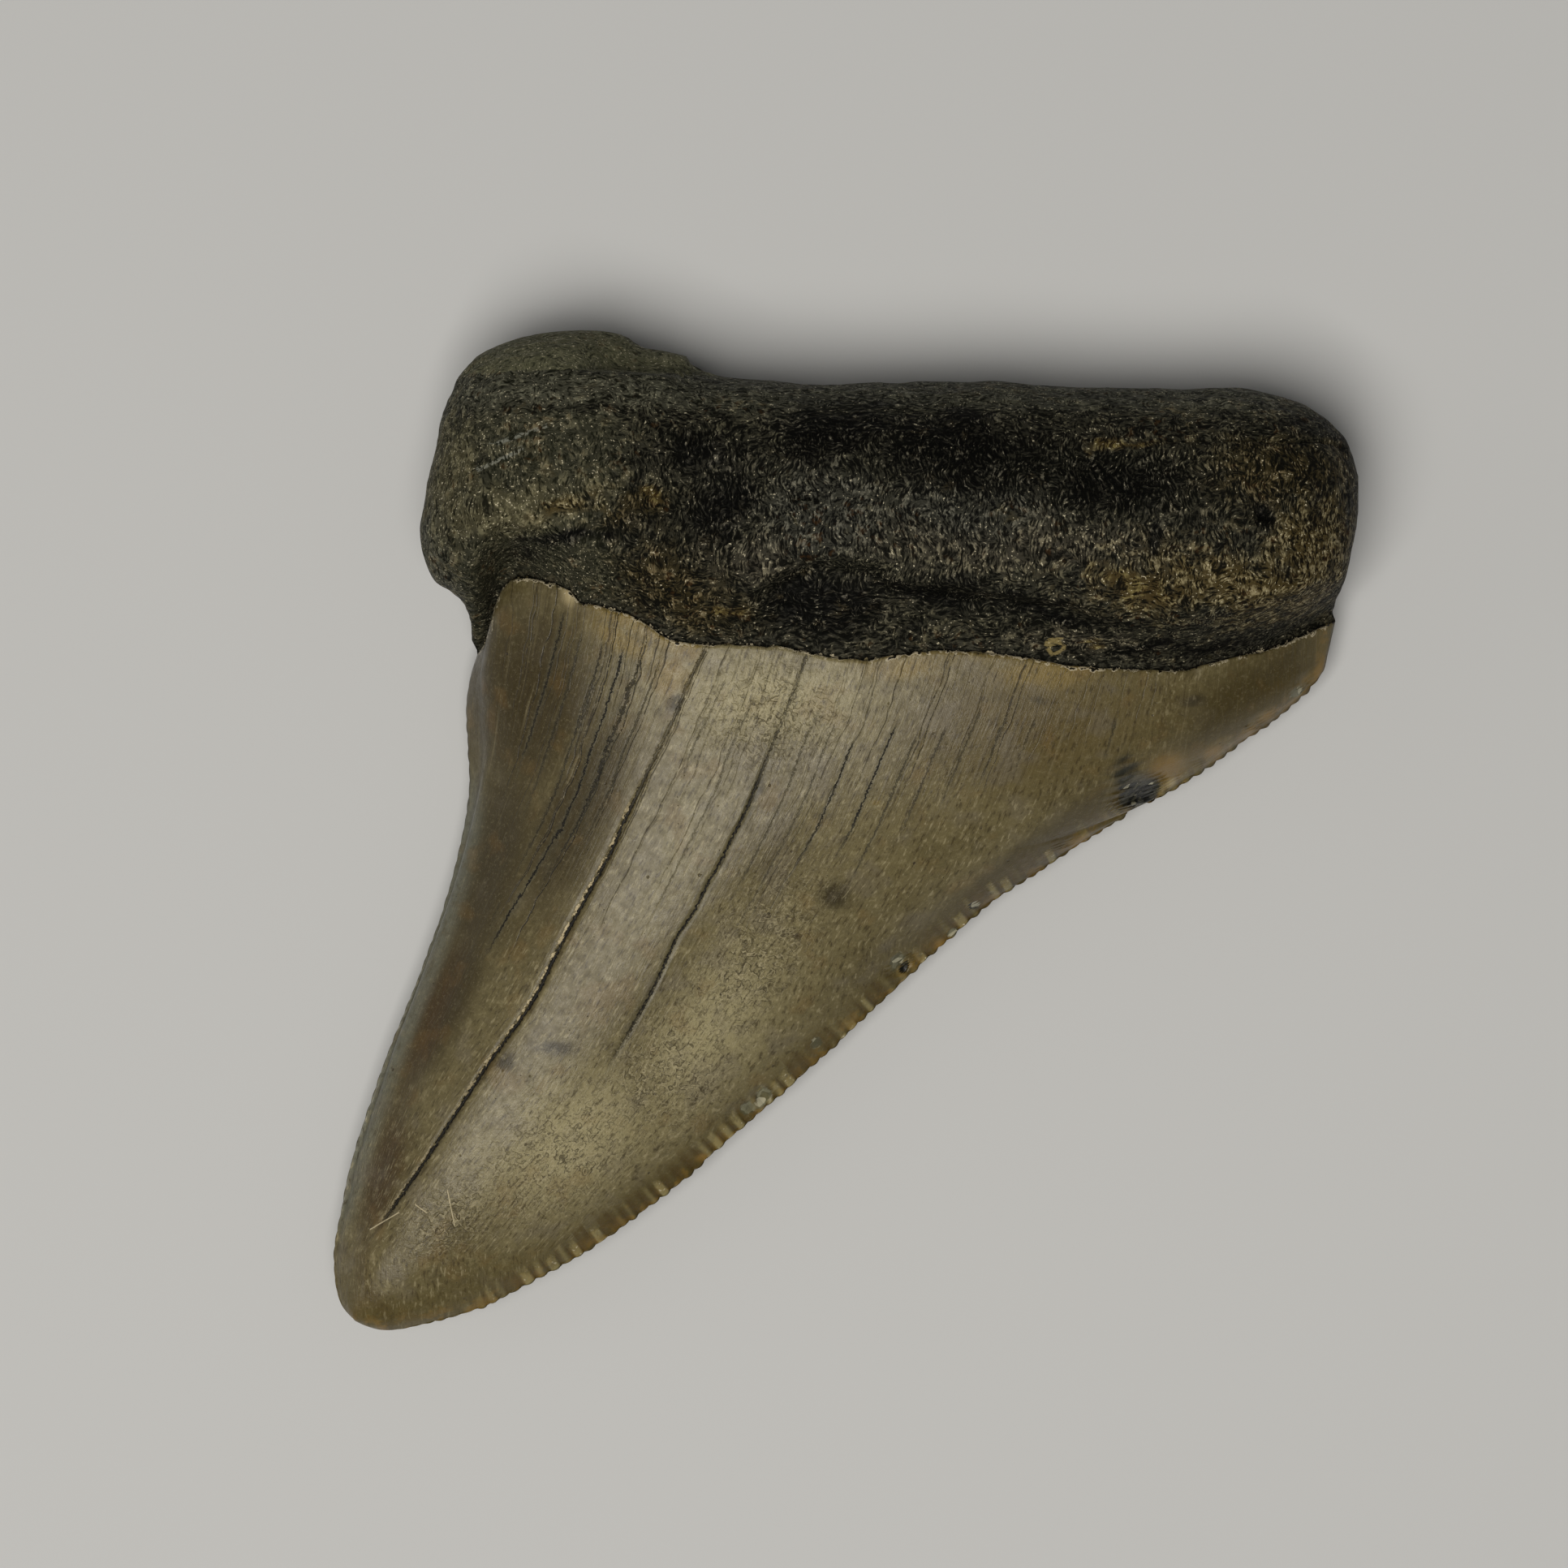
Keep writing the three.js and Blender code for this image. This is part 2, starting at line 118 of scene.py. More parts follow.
def nearest_on(curve, x, y, every=12):
    """The distance to a curve, and the share of its length at which the nearest point lies."""
    line, shares = curve["line"][::every], curve["share"][::every]
    least, where = np.full(x.shape, np.inf), np.zeros(x.shape)
    for (ax, ay), (bx, by), low, high in zip(line[:-1], line[1:], shares[:-1], shares[1:]):
        dx, dy = bx - ax, by - ay
        t = np.clip(((x - ax) * dx + (y - ay) * dy) / (dx * dx + dy * dy), 0, 1)
        away = np.hypot(x - ax - t * dx, y - ay - t * dy)
        where = np.where(away < least, mix(low, high, t), where)
        least = np.minimum(least, away)
    return least, where


def noise(points, size, seed):
    """Smooth noise from -1 to 1 whose lumps have this size: random heights on a cubic lattice of that
    pitch, blended with 3t^2 - 2t^3 between its corners. The size is one number or one for each axis."""
    cells = 48
    lattice = np.random.default_rng(seed).uniform(-1, 1, (cells, cells, cells))
    place = points / np.asarray(size, float) + 0.37 * seed
    corner = np.floor(place).astype(int)
    t = smoothstep(0, 1, place - corner)
    total = np.zeros(points.shape[:-1])
    for offset in itertools.product((0, 1), repeat=3):
        weight = np.prod(np.where(offset, t, 1 - t), axis=-1)
        i, j, k = np.moveaxis((corner + offset) % cells, -1, 0)
        total += weight * lattice[i, j, k]
    return total


def rough(points, size, seed, octaves=3):
    """Layers of noise, each half as large and half as high as the last."""
    layers = [noise(points, np.asarray(size) / 2**k, seed + k) / 2**k for k in range(octaves)]
    return sum(layers) / sum(0.5**k for k in range(octaves))


# %% [markdown]
# The outline is the CAD's own: two cutting edges that run from the tip to the root, the root's border
# in three stretches, and the line where the enamel ends, once for each face. X runs to the right in
# the photo and Y up it.

# %% Outlines of the crown, in mm
SHORT_EDGE = curve_through([
    (-26.94, -26.9), (-27.75, -25.9), (-28.1, -24.1), (-27.97, -21.85), (-27.12, -18.05),
    (-25.87, -14.05), (-24.35, -10.0), (-22.75, -6.0), (-21.7, -2.7), (-21.05, 0.0), (-20.68, 2.3),
    (-20.8, 4.6), (-20.92, 7.0), (-20.6, 8.7), (-20.25, 9.8),
])
BLADE = [  # the long edge from the tip to its middle
    (-26.94, -26.9), (-25.5, -27.4), (-23.4, -27.2), (-20.5, -26.4), (-17.0, -24.7), (-13.4, -22.6),
    (-9.8, -20.0), (-6.3, -16.9), (-2.7, -13.8), (0.9, -10.5), (4.5, -7.1),
]
HEEL = [(24.1, 6.4), (25.5, 7.6), (26.4, 8.8), (26.7, 9.9), (27.1, 11.65)]  # its end beside the root
LONG_EDGE = curve_through([
    *BLADE, (8.0, -4.05), (11.6, -1.65), (14.5, 0.2), (15.45, 0.78), (15.7, 1.08), (15.62, 1.5), (16.2, 1.62),
    (17.2, 1.78), (19.8, 3.35), (22.3, 5.15), *HEEL,
])
UNBROKEN_LONG_EDGE = curve_through([  # as it ran before its notch was broken out
    *BLADE, (8.0, -4.2), (11.6, -1.7), (15.6, 0.8), (19.8, 3.4), (22.3, 5.1), *HEEL,
])
INNER_ENAMEL_LINE = curve_through([
    (-20.25, 9.8), (-19.5, 10.9), (-19.2, 12.2), (-18.7, 13.3), (-17.9, 13.9), (-16.6, 13.65),
    (-15.1, 13.2), (-14.6, 12.45), (-13.4, 12.25), (-11.9, 11.85), (-10.3, 11.0), (-8.9, 10.25),
    (-6.5, 10.2), (-4.0, 10.1), (-1.2, 9.6), (1.4, 9.35), (4.0, 9.75), (7.1, 9.75), (9.8, 9.45),
    (12.3, 8.95), (15.0, 8.85), (17.8, 8.8), (20.5, 9.3), (23.2, 10.05), (25.3, 10.8), (27.1, 11.65),
])
OUTER_ENAMEL_LINE = curve_through([
    (-20.25, 9.8), (-17.5, 12.6), (-12.0, 14.4), (-5.0, 14.3), (2.0, 13.7), (9.0, 14.1),
    (16.0, 14.3), (22.5, 13.4), (27.1, 11.65),
])
print("long edge %.1f mm, short edge %.1f mm" % (LONG_EDGE["length"], SHORT_EDGE["length"]))

# %% Outlines of the root, in mm
ROOT_LEFT = curve_through([
    (-20.25, 9.8), (-20.65, 12.2), (-21.4, 13.15), (-22.3, 13.65), (-23.05, 14.8), (-23.3, 16.6),
    (-22.9, 18.9), (-22.4, 21.2), (-21.9, 23.0), (-21.15, 24.7),
])
ROOT_TOP = curve_through([
    (-21.15, 24.7), (-20.1, 25.9), (-18.3, 26.8), (-16.1, 27.3), (-13.7, 27.4), (-12.1, 27.1),
    (-11.1, 26.55), (-9.9, 26.4), (-8.75, 26.1), (-8.15, 25.35), (-6.9, 24.95), (-4.5, 24.7),
    (-1.5, 24.5), (3.0, 24.5), (7.8, 24.6), (11.6, 24.4), (15.2, 24.15), (18.3, 24.2), (20.5, 24.3),
    (22.5, 24.15), (24.5, 23.6), (26.1, 22.7),
])
ROOT_RIGHT = curve_through([
    (27.1, 11.65), (27.05, 12.4), (27.6, 14.7), (27.95, 17.0), (28.05, 18.8), (27.8, 20.2),
    (27.2, 21.5), (26.1, 22.7),
])
ROOT_BORDER = [curve["line"][::20] for curve in (ROOT_LEFT, ROOT_TOP, ROOT_RIGHT)]
print("root's border: %d short stretches" % sum(len(line) - 1 for line in ROOT_BORDER))

# %% [markdown]
# The heights also follow the CAD. The crown's inner face is a lens between the two edges, with its
# crest off the middle, and its outer face is a shallow belly. The root rises in a quarter circle from
# its border. Its face has a swelling, two lobes, a lip and a ledge.

# %% Heights, in mm
EDGE_HEIGHT = 2.8
TIP_LIFT = 0.8
CROWN_SWELL = 8.9
CROWN_BELLY = 3.5
SWELL_POWER = 0.6
CREST = 0.38
ROOT_HEIGHT = 13.5
ROOT_RIM_HEIGHT = 6.4
ROOT_ROUNDING = 5.2
ROOT_SLOPE = 0.09
ENAMEL_STEP = 0.35
FLAT_SPOT = (-0.5, 9.0)
FLAT_SPOT_DEPTH = 0.3


def edge_height(along):
    """The cutting edges run level near the root and lift by a square law towards the tip."""
    return EDGE_HEIGHT + TIP_LIFT * (1 - along) ** 2


def crown_inner(across, along):
    """A lens, 1 - side^p to the power q, where side is 0 on the crest and 1 on an edge. p grows and q
    shrinks towards the root, so the face is hollow beside the edges of the blade and full at its foot."""
    side = np.where(across < CREST, 1 - across / CREST, (across - CREST) / (1 - CREST))
    full = smoothstep(0.55, 1, along)
    lens = np.clip(1 - side ** mix(2, 3, full), 0, 1) ** mix(1.35, 0.9, full)
    return edge_height(along) + CROWN_SWELL * along**SWELL_POWER * lens


def crown_outer(across, along):
    """The same kind of lens, even on both sides and hung below the edges."""
    lens = np.clip(1 - np.abs(2 * across - 1) ** 2.4, 0, 1) ** 0.8
    return edge_height(along) - CROWN_BELLY * along**SWELL_POWER * lens


def root_rounding(x, y):
    """A quarter circle: 0 on the root's border, and 1 from the rounding's reach inwards."""
    away = np.minimum.reduce([distance_to(line, x, y) for line in ROOT_BORDER])
    return np.sqrt(1 - (1 - np.clip(away / ROOT_ROUNDING, 0, 1)) ** 2)


print("crown's crest at its foot: %.1f mm" % crown_inner(np.array(CREST), 1.0))

# %% The root's relief, in mm
ROOT_RELIEF = {  # centre, reach in X and Y, rise
    "middle swelling": ((2.5, 17.2), (9.0, 4.5), 1.0),
    "left lobe": ((-15.5, 19.5), (6.0, 5.5), 0.7),
    "right lobe": ((19.0, 16.5), (7.5, 4.5), 0.5),
    "saddle by the left lobe": ((-7.5, 18.0), (3.2, 5.0), -1.1),
    "furrow of the right lobe": ((12.5, 20.3), (5.0, 1.6), -0.5),
}
LIP = curve_through([
    (-5.4, 11.6), (-4.6, 13.0), (-2.9, 14.1), (-1.1, 14.5), (1.6, 14.2), (2.6, 13.2), (4.8, 13.1),
    (6.8, 12.8), (8.7, 12.6), (10.8, 12.35), (12.5, 11.9), (14.0, 11.3), (18.0, 10.4),
])
LIP_DEPTH = 1.3
LEDGE_Y = 24.9
LEDGE_DROP = 2.6


def lip_step(x, y, wobble):
    """The lip's depth below its line and 0 above it. It fades in from the left and out at the right."""
    order = np.argsort(LIP["line"][:, 0])
    lip_y = np.interp(x, LIP["line"][order, 0], LIP["line"][order, 1]) + wobble
    ends = smoothstep(-5.4, -3.3, x) * (1 - smoothstep(13, 18, x))
    softness = mix(0.45, 0.22, smoothstep(6, 9, x))
    return LIP_DEPTH * ends * (1 - smoothstep(-softness, softness, y - lip_y))


def ledge_step(x, y, wobble):
    """The ledge's drop above its line, between its left end, which fades in, and its right end."""
    ends = smoothstep(-15.0, -12.6, x) * (1 - smoothstep(-8.3, -7.6, x))
    return LEDGE_DROP * ends * smoothstep(-0.12, 0.12, y - LEDGE_Y - wobble)


def root_inner(across, up, x, y):
    """The crown's foot, less the enamel's step, blended into the root's own height over a fifth of its
    length, and rounded down to the border."""
    flat = np.stack([x, y, np.zeros_like(x)], axis=-1)
    wobble = 0.22 * rough(flat, 1.6, 11)
    height = ROOT_HEIGHT - ROOT_SLOPE * np.maximum(0, y - 17.2)
    for (cx, cy), (rx, ry), rise in ROOT_RELIEF.values():
        height = height + rise * np.exp(-(((x - cx) / rx) ** 2) - ((y - cy) / ry) ** 2)
    height = height - lip_step(x, y, wobble) - ledge_step(x, y, wobble)
    rim = mix(EDGE_HEIGHT, ROOT_RIM_HEIGHT, smoothstep(0, 0.24, up))
    face = mix(crown_inner(across, 1.0) - ENAMEL_STEP, height, smoothstep(0, 0.22, up))
    return rim + (face - rim) * root_rounding(x, y)


def root_outer(across, up, x, y):
    """A very shallow bowl around the flat spot, blended from the crown's foot and rounded likewise."""
    dish = 0.0032 * (x - FLAT_SPOT[0]) ** 2 + 0.0045 * (y - FLAT_SPOT[1]) ** 2 - FLAT_SPOT_DEPTH
    rim = mix(EDGE_HEIGHT, ROOT_RIM_HEIGHT, smoothstep(0, 0.24, up))
    face = mix(crown_outer(across, 1.0) + ENAMEL_STEP, dish, smoothstep(0, 0.2, up))
    return rim + (face - rim) * root_rounding(x, y)


print("rises and hollows of the root:", ", ".join(ROOT_RELIEF))

# %% [markdown]
# Both faces are grids: rows run from the tip to the top of the root, and columns from the short edge
# to the long one. The inner face has twice as many columns as the outer one, and they crowd along the
# open cracks, so that a groove a quarter of a millimetre wide is real geometry. A row falls on every
# fifth of a serration of the long edge.

# %% Where the cracks run, in mm
CRACK_A = curve_through([
    (-7.6, 9.8), (-8.48, 8.16), (-9.09, 6.55), (-9.82, 5.12), (-10.6, 3.51), (-11.27, 2.08), (-12.03, 0.48),
    (-12.65, -0.95), (-13.52, -2.56), (-14.31, -3.99), (-15.18, -5.59), (-15.89, -7.02), (-16.67, -8.63),
    (-17.58, -10.06), (-18.76, -11.67), (-19.76, -13.09), (-20.8, -14.7), (-21.75, -16.13),
    (-22.79, -17.74), (-23.76, -19.17), (-24.89, -20.77), (-26.13, -22.38),
])
CRACK_B = curve_through([
    (-2.1, 9.6), (-2.6, 8.16), (-3.15, 6.73), (-3.75, 5.3), (-4.23, 4.05), (-4.82, 2.62), (-5.39, 1.19),
    (-6.05, -0.06), (-6.73, -1.49), (-7.54, -2.92), (-8.26, -4.34), (-9.11, -5.59), (-9.77, -7.02),
    (-10.44, -8.45), (-11.11, -9.7), (-11.93, -11.13), (-12.77, -12.56), (-13.53, -13.99),
])
CRACK_C = curve_through([
    (3.9, 9.4), (2.7, 6.15), (2.15, 4.72), (1.54, 3.29), (0.78, 1.68), (0.11, 0.25), (-0.92, -1.35),
    (-3.2, -5.5),
])
print("cracks: %.1f, %.1f and %.1f mm" % tuple(crack["length"] for crack in (CRACK_A, CRACK_B, CRACK_C)))

# %% Rows and columns
SERRATION_PITCH, SHORT_SERRATION_PITCH = 0.76, 0.9  # mm
SERRATIONS = round(LONG_EDGE["length"] / SERRATION_PITCH)
SHORT_SERRATIONS = round(SHORT_EDGE["length"] / SHORT_SERRATION_PITCH)
ROWS_PER_SERRATION = 5
CROWN_ROWS = SERRATIONS * ROWS_PER_SERRATION
ROOT_ROWS = 128
STRETCHES = (26, 28, 22, 36)  # inner columns: edge to crack A, A to B, B to C, C to edge
INNER_COLUMNS = sum(STRETCHES)
OUTER_COLUMNS = INNER_COLUMNS // 2
CROWDING = 0.8  # 0 spaces the columns evenly, 1 as a cosine does
LONG_TEETH, SHORT_TEETH = 0.14, 0.05  # height of the serrations, in mm
INSET = 0.7  # share of a serration's height that lies inside the outline


def crowded(count, crowding):
    """Places from 0 to 1, closer together towards both ends: even ones mixed with a cosine's."""
    t = np.linspace(0, 1, count + 1)
    return mix(t, (1 - np.cos(np.pi * t)) / 2, crowding)


def worn(along):
    """The serrations' height: none at the very tip or beside the root."""
    return smoothstep(0.02, 0.08, along) * (1 - smoothstep(0.94, 0.97, along))


def edge_place(curve, side, along, outside):
    """A cutting edge's points, moved out from its curve by this many mm. Wear makes it wander a little."""
    place = place_on(curve, along)
    wear = 0.05 * noise(np.concatenate([place, np.zeros(place.shape[:-1] + (1,))], axis=-1), 2.1, 8)
    return place + outward_of(curve, along, side) * ((outside + wear) * worn(along))[..., None]


def enamel_jag(across, seed):
    """The enamel's broken border: it strays from its smooth line by a tenth of a millimetre or two."""
    place = np.stack([60 * across, np.zeros_like(across), np.zeros_like(across)], axis=-1)
    stray = 0.16 * rough(place, 1.6, seed) + 0.07 * noise(place, 0.35, seed)
    return stray * smoothstep(0, 0.03, across * (1 - across))


def crown_place(across, along, enamel_line, seed=3):
    """A straight row between the two edges, bent towards the root as the enamel line is. Only close to
    the long edge does it follow the notch and the gaps between the teeth."""
    low = edge_place(SHORT_EDGE, -1, along, -INSET * SHORT_TEETH * np.ones_like(along))
    high = edge_place(LONG_EDGE, 1, along, -INSET * LONG_TEETH * np.ones_like(along))
    unbroken = place_on(UNBROKEN_LONG_EDGE, along)
    chord = mix(place_on(enamel_line, 0.0), place_on(enamel_line, 1.0), across[..., None])
    bend = place_on(enamel_line, across) - chord
    place = mix(low, unbroken, across[..., None]) + bend * along[..., None]
    place = place + (high - unbroken) * across[..., None] ** 16
    place[..., 1] += enamel_jag(across, seed) * smoothstep(0.965, 1, along)
    return place


def root_place(across, up, enamel_line, seed=3):
    """Blended between the enamel line and the root's top, and between its left and right sides."""
    a, u = across[..., None], up[..., None]
    between = mix(place_on(enamel_line, across), place_on(ROOT_TOP, across), u)
    left_chord = mix(place_on(enamel_line, 0.0), place_on(ROOT_TOP, 0.0), u)
    right_chord = mix(place_on(enamel_line, 1.0), place_on(ROOT_TOP, 1.0), u)
    left, right = place_on(ROOT_LEFT, up) - left_chord, place_on(ROOT_RIGHT, up) - right_chord
    place = between + left * (1 - a) + right * a
    place[..., 1] += enamel_jag(across, seed) * (1 - smoothstep(0, 0.08, up))
    return place


print("serrations: %d long, %d short" % (SERRATIONS, SHORT_SERRATIONS))

# %% Columns that follow the cracks
GUIDES = [  # crack, its column's share across the crown at the tip, and the least and most elsewhere
    (CRACK_A, 0.2, 0.1, 0.5), (CRACK_B, 0.45, 0.3, 0.75), (CRACK_C, 0.7, 0.5, 0.88),
]


def crack_share(crack, along):
    """On each row, the share across the crown at which it meets the crack, or the crack's straight
    extension. Near the tip, where the crack has left the crown, the share settles."""
    fine = np.linspace(0, 1, 300)
    a, v = np.meshgrid(fine, along)
    place = crown_place(a, v, INNER_ENAMEL_LINE)
    line = crack["line"][::-1]
    slope = (line[10] - line[0]) / (line[10, 1] - line[0, 1])
    y = place[..., 1]
    crack_x = np.interp(y, line[:, 1], line[:, 0]) + slope[0] * np.minimum(0, y - line[0, 1])
    return np.array([np.interp(0, row, fine) for row in place[..., 0] - crack_x])


crown_along = np.linspace(0, 1, CROWN_ROWS + 1)
guides = []
for crack, at_tip, least, most in GUIDES:
    near_tip = 1 - smoothstep(0.08, 0.2, crown_along)
    guides.append(mix(np.clip(crack_share(crack, crown_along), least, most), at_tip, near_tip))
bounds_across = np.stack([np.zeros(CROWN_ROWS + 1), *guides, np.ones(CROWN_ROWS + 1)], axis=1)
inner_across = np.concatenate(
    [mix(bounds_across[:, k, None], bounds_across[:, k + 1, None], crowded(n, CROWDING)[int(k > 0):])
     for k, n in enumerate(STRETCHES)], axis=1)
outer_across = np.tile(crowded(OUTER_COLUMNS, CROWDING), (CROWN_ROWS + 1, 1))
print("rows", CROWN_ROWS + ROOT_ROWS, "inner columns", INNER_COLUMNS, "guides at the root",
      [round(float(g[-1]), 3) for g in guides])

# %% [markdown]
# On the photographed face two cracks gape: the left one is the deepest, with a chipped side. The long
# edge has a broken notch with shell-shaped scars, and smaller nicks. Each is a small height pressed
# into the face. The fine closed cracks are left to the material.

# %% Damage pressed into the crown, in mm
CHIPS = {  # centre, reach in X and Y, turn in degrees, depth, height of the ripples in its shell shape
    "notch": ((16.3, 2.2), (1.4, 1.0), 18, 0.8, 0.1),
    "step beside the notch": ((15.3, 3.2), (0.5, 1.0), 5, 0.22, 0.0),
    "shell scar": ((18.2, 3.0), (1.5, 0.8), 30, 0.3, 0.25),
    "scar within it": ((19.1, 2.7), (0.55, 0.45), 30, 0.25, 0.2),
    "nick in the middle": ((3.1, -7.3), (0.75, 0.5), 45, 0.4, 0.1),
    "lower nick": ((-4.7, -14.6), (0.9, 0.6), 40, 0.3, 0.15),
    "lower shell": ((-5.9, -15.4), (0.75, 0.6), 40, 0.2, 0.2),
    "nick by the notch": ((12.4, -0.2), (0.8, 0.5), 35, 0.25, 0.15),
    "nick by the right end": ((22.9, 6.2), (0.7, 0.45), 35, 0.25, 0.15),
    "nick at the right end": ((25.5, 8.4), (0.6, 0.5), 50, 0.25, 0.15),
}
CHIP_BLUNTNESS = 0.65  # under 1, a chip's rim is steeper and its floor flatter
OPEN_CRACKS = [  # line, half width, depth, Y where it begins and is open, Y where it narrows, by how much
    (CRACK_A, 0.2, 0.2, (-22.4, -20), (0, 6), 0.85), (CRACK_B, 0.16, 0.12, (-13.5, -9), (0, 5), 0.6),
]


def ellipse(x, y, centre, reach, turn):
    """The squared distance from an ellipse's centre, measured in its own radii: 1 on its rim."""
    angle = np.radians(turn)
    dx, dy = x - centre[0], y - centre[1]
    a = (dx * np.cos(angle) + dy * np.sin(angle)) / reach[0]
    b = (dy * np.cos(angle) - dx * np.sin(angle)) / reach[1]
    return a * a + b * b


def bowl(x, y, centre, reach, turn):
    """1 at an ellipse's centre and 0 from its rim outwards: 1 - r^2."""
    return np.clip(1 - ellipse(x, y, centre, reach, turn), 0, 1)


def groove(distance, half_width):
    """A V with a rounded bottom: 1 on the line and 0 from half its width outwards."""
    return smoothstep(0, 1, 1 - distance / half_width)


def crown_damage(x, y):
    """How far the inner face is pressed in, in mm, by the open cracks and the chips."""
    flat = np.stack([x, y, np.zeros_like(x)], axis=-1)
    wobble = 0.03 * rough(flat, 1.2, 21)
    depth = np.zeros_like(x)
    for crack, half_width, deep, (begins, opened), (narrows, narrow), closing in OPEN_CRACKS:
        share = smoothstep(begins, opened, y) * (1 - closing * smoothstep(narrows, narrow, y))
        depth = depth + deep * share * groove(distance_to(crack["line"][::15], x, y) + wobble, half_width)
    for centre, reach, turn, deep, shell in CHIPS.values():
        ripple = 1 + shell * np.sin(9 * np.hypot(x - centre[0], y - centre[1]) / reach[0])
        depth = depth + deep * ripple * bowl(x, y, centre, reach, turn) ** CHIP_BLUNTNESS
    return depth


print("pressed into the crown:", ", ".join(CHIPS), "and", len(OPEN_CRACKS), "open cracks")

# %% The two faces as grids of points


def strayed(phase, seed):
    """How many teeth along its edge a point is, uneven by a quarter of a tooth."""
    return phase + 0.25 * noise(np.stack([phase, phase * 0, phase * 0], axis=-1), 2.3, seed)


def tooth_wave(phase, seed):
    """Round teeth with sharp gaps, |sin|, and a height of their own for each tooth, as wear leaves it."""
    teeth = strayed(phase, seed)
    height = np.random.default_rng(seed).uniform(0.3, 1.1, 200)[np.clip(teeth, 0, 199).astype(int)]
    return np.abs(np.sin(np.pi * teeth)) * height


def crown_grid(across, enamel_line, height, inner):
    """A face of the crown: its rows and columns placed, raised to their height, with serrated sides."""
    along = np.broadcast_to(crown_along[:, None], across.shape)
    place = crown_place(across, along, enamel_line)
    x, y, z = place[..., 0], place[..., 1], height(across, along)
    long_near, long_share = nearest_on(LONG_EDGE, x, y)
    short_near, short_share = nearest_on(SHORT_EDGE, x, y)
    side = 1 if inner else -1
    for near, share, count, rise, reach, seed in (
            (long_near, long_share, SERRATIONS, 0.1, 0.45, 5),
            (short_near, short_share, SHORT_SERRATIONS, 0.05, 0.5, 6)):
        ribs = rise * (tooth_wave(share * count, seed) - 0.5) * np.exp(-((near / reach) ** 2)) * worn(share)
        z = z + side * ribs * smoothstep(0, 0.12, near)
    if inner:
        blade = smoothstep(0.08, 0.25, along) * smoothstep(0.95, 0.7, along)
        flange = 0.5 * np.exp(-(((short_near - 1.3) / 1.0) ** 2)) * blade
        z = z - (flange + crown_damage(x, y)) * smoothstep(0, 0.25, np.minimum(long_near, short_near))
        z = z - 0.1 * smoothstep(0.997, 1, along)
    z[:, 0] = z[:, -1] = edge_height(crown_along)
    long_teeth = LONG_TEETH * (tooth_wave(crown_along * SERRATIONS, 5) - INSET)
    short_teeth = SHORT_TEETH * (tooth_wave(crown_along * SHORT_SERRATIONS, 6) - INSET)
    place[:, 0] = edge_place(SHORT_EDGE, -1, crown_along, short_teeth)
    place[:, -1] = edge_place(LONG_EDGE, 1, crown_along, long_teeth)
    facts = {"long": long_near, "short": short_near, "phase": strayed(long_share * SERRATIONS, 5),
             "ribbed": smoothstep(0.07, 0.16, long_share) * smoothstep(0.97, 0.6, long_share)}
    return np.concatenate([place, z[..., None]], axis=-1), facts


root_up = crowded(ROOT_ROWS, 0.55)
root_up[0] = 0.25 * root_up[1]


def root_grid(first_across, enamel_line, height):
    """A face of the root. Its columns leave the crown's and become even a third of the way up."""
    up = np.broadcast_to(root_up[:, None], (len(root_up), len(first_across)))
    even = crowded(len(first_across) - 1, 0.4)
    across = mix(first_across, even, smoothstep(0, 0.35, root_up)[:, None])
    place = root_place(across, up, enamel_line)
    z = height(across, up, place[..., 0], place[..., 1])
    rim = mix(EDGE_HEIGHT, ROOT_RIM_HEIGHT, smoothstep(0, 0.24, root_up))
    z[:, 0] = z[:, -1] = rim
    z[-1] = ROOT_RIM_HEIGHT
    return np.concatenate([place, z[..., None]], axis=-1), across


inner_crown, inner_facts = crown_grid(inner_across, INNER_ENAMEL_LINE, crown_inner, True)
outer_crown, outer_facts = crown_grid(outer_across, OUTER_ENAMEL_LINE, crown_outer, False)
inner_root, inner_root_across = root_grid(inner_across[-1], INNER_ENAMEL_LINE, root_inner)
outer_root, outer_root_across = root_grid(outer_across[-1], OUTER_ENAMEL_LINE, root_outer)
print("inner face", inner_crown.shape, inner_root.shape, "outer face", outer_crown.shape, outer_root.shape)

# %% [markdown]
# The two faces share their border. So the outer grid takes its first, last and top points from the
# inner grid, whose top row has twice as many: the odd ones are closed with one small triangle each.
# The tip's row is a single point. What comes out is one closed skin.

# %% One closed skin


def numbered(rows, columns, first):
    """The numbers of a grid's points, row by row, from a first number on."""
    return first + np.arange(rows * columns).reshape(rows, columns)


inner_points = np.concatenate([inner_crown, inner_root])
outer_points = np.concatenate([outer_crown, outer_root])
rows = len(inner_points)
inner_ids = numbered(rows, INNER_COLUMNS + 1, 0)
outer_ids = numbered(rows, OUTER_COLUMNS + 1, inner_ids.size)
outer_ids[:, 0], outer_ids[:, -1], outer_ids[-1] = inner_ids[:, 0], inner_ids[:, -1], inner_ids[-1, ::2]
inner_ids[0] = outer_ids[0] = 0


def quads_of(ids):
    """Four corners for each cell above the tip's row, turned to look up."""
    return np.stack([ids[1:-1, :-1], ids[1:-1, 1:], ids[2:, 1:], ids[2:, :-1]], axis=-1).reshape(-1, 4)


def tip_of(ids):
    """The triangles between the tip and the first row, turned to look up."""
    return np.stack([ids[0, :-1], ids[1, 1:], ids[1, :-1]], axis=-1)


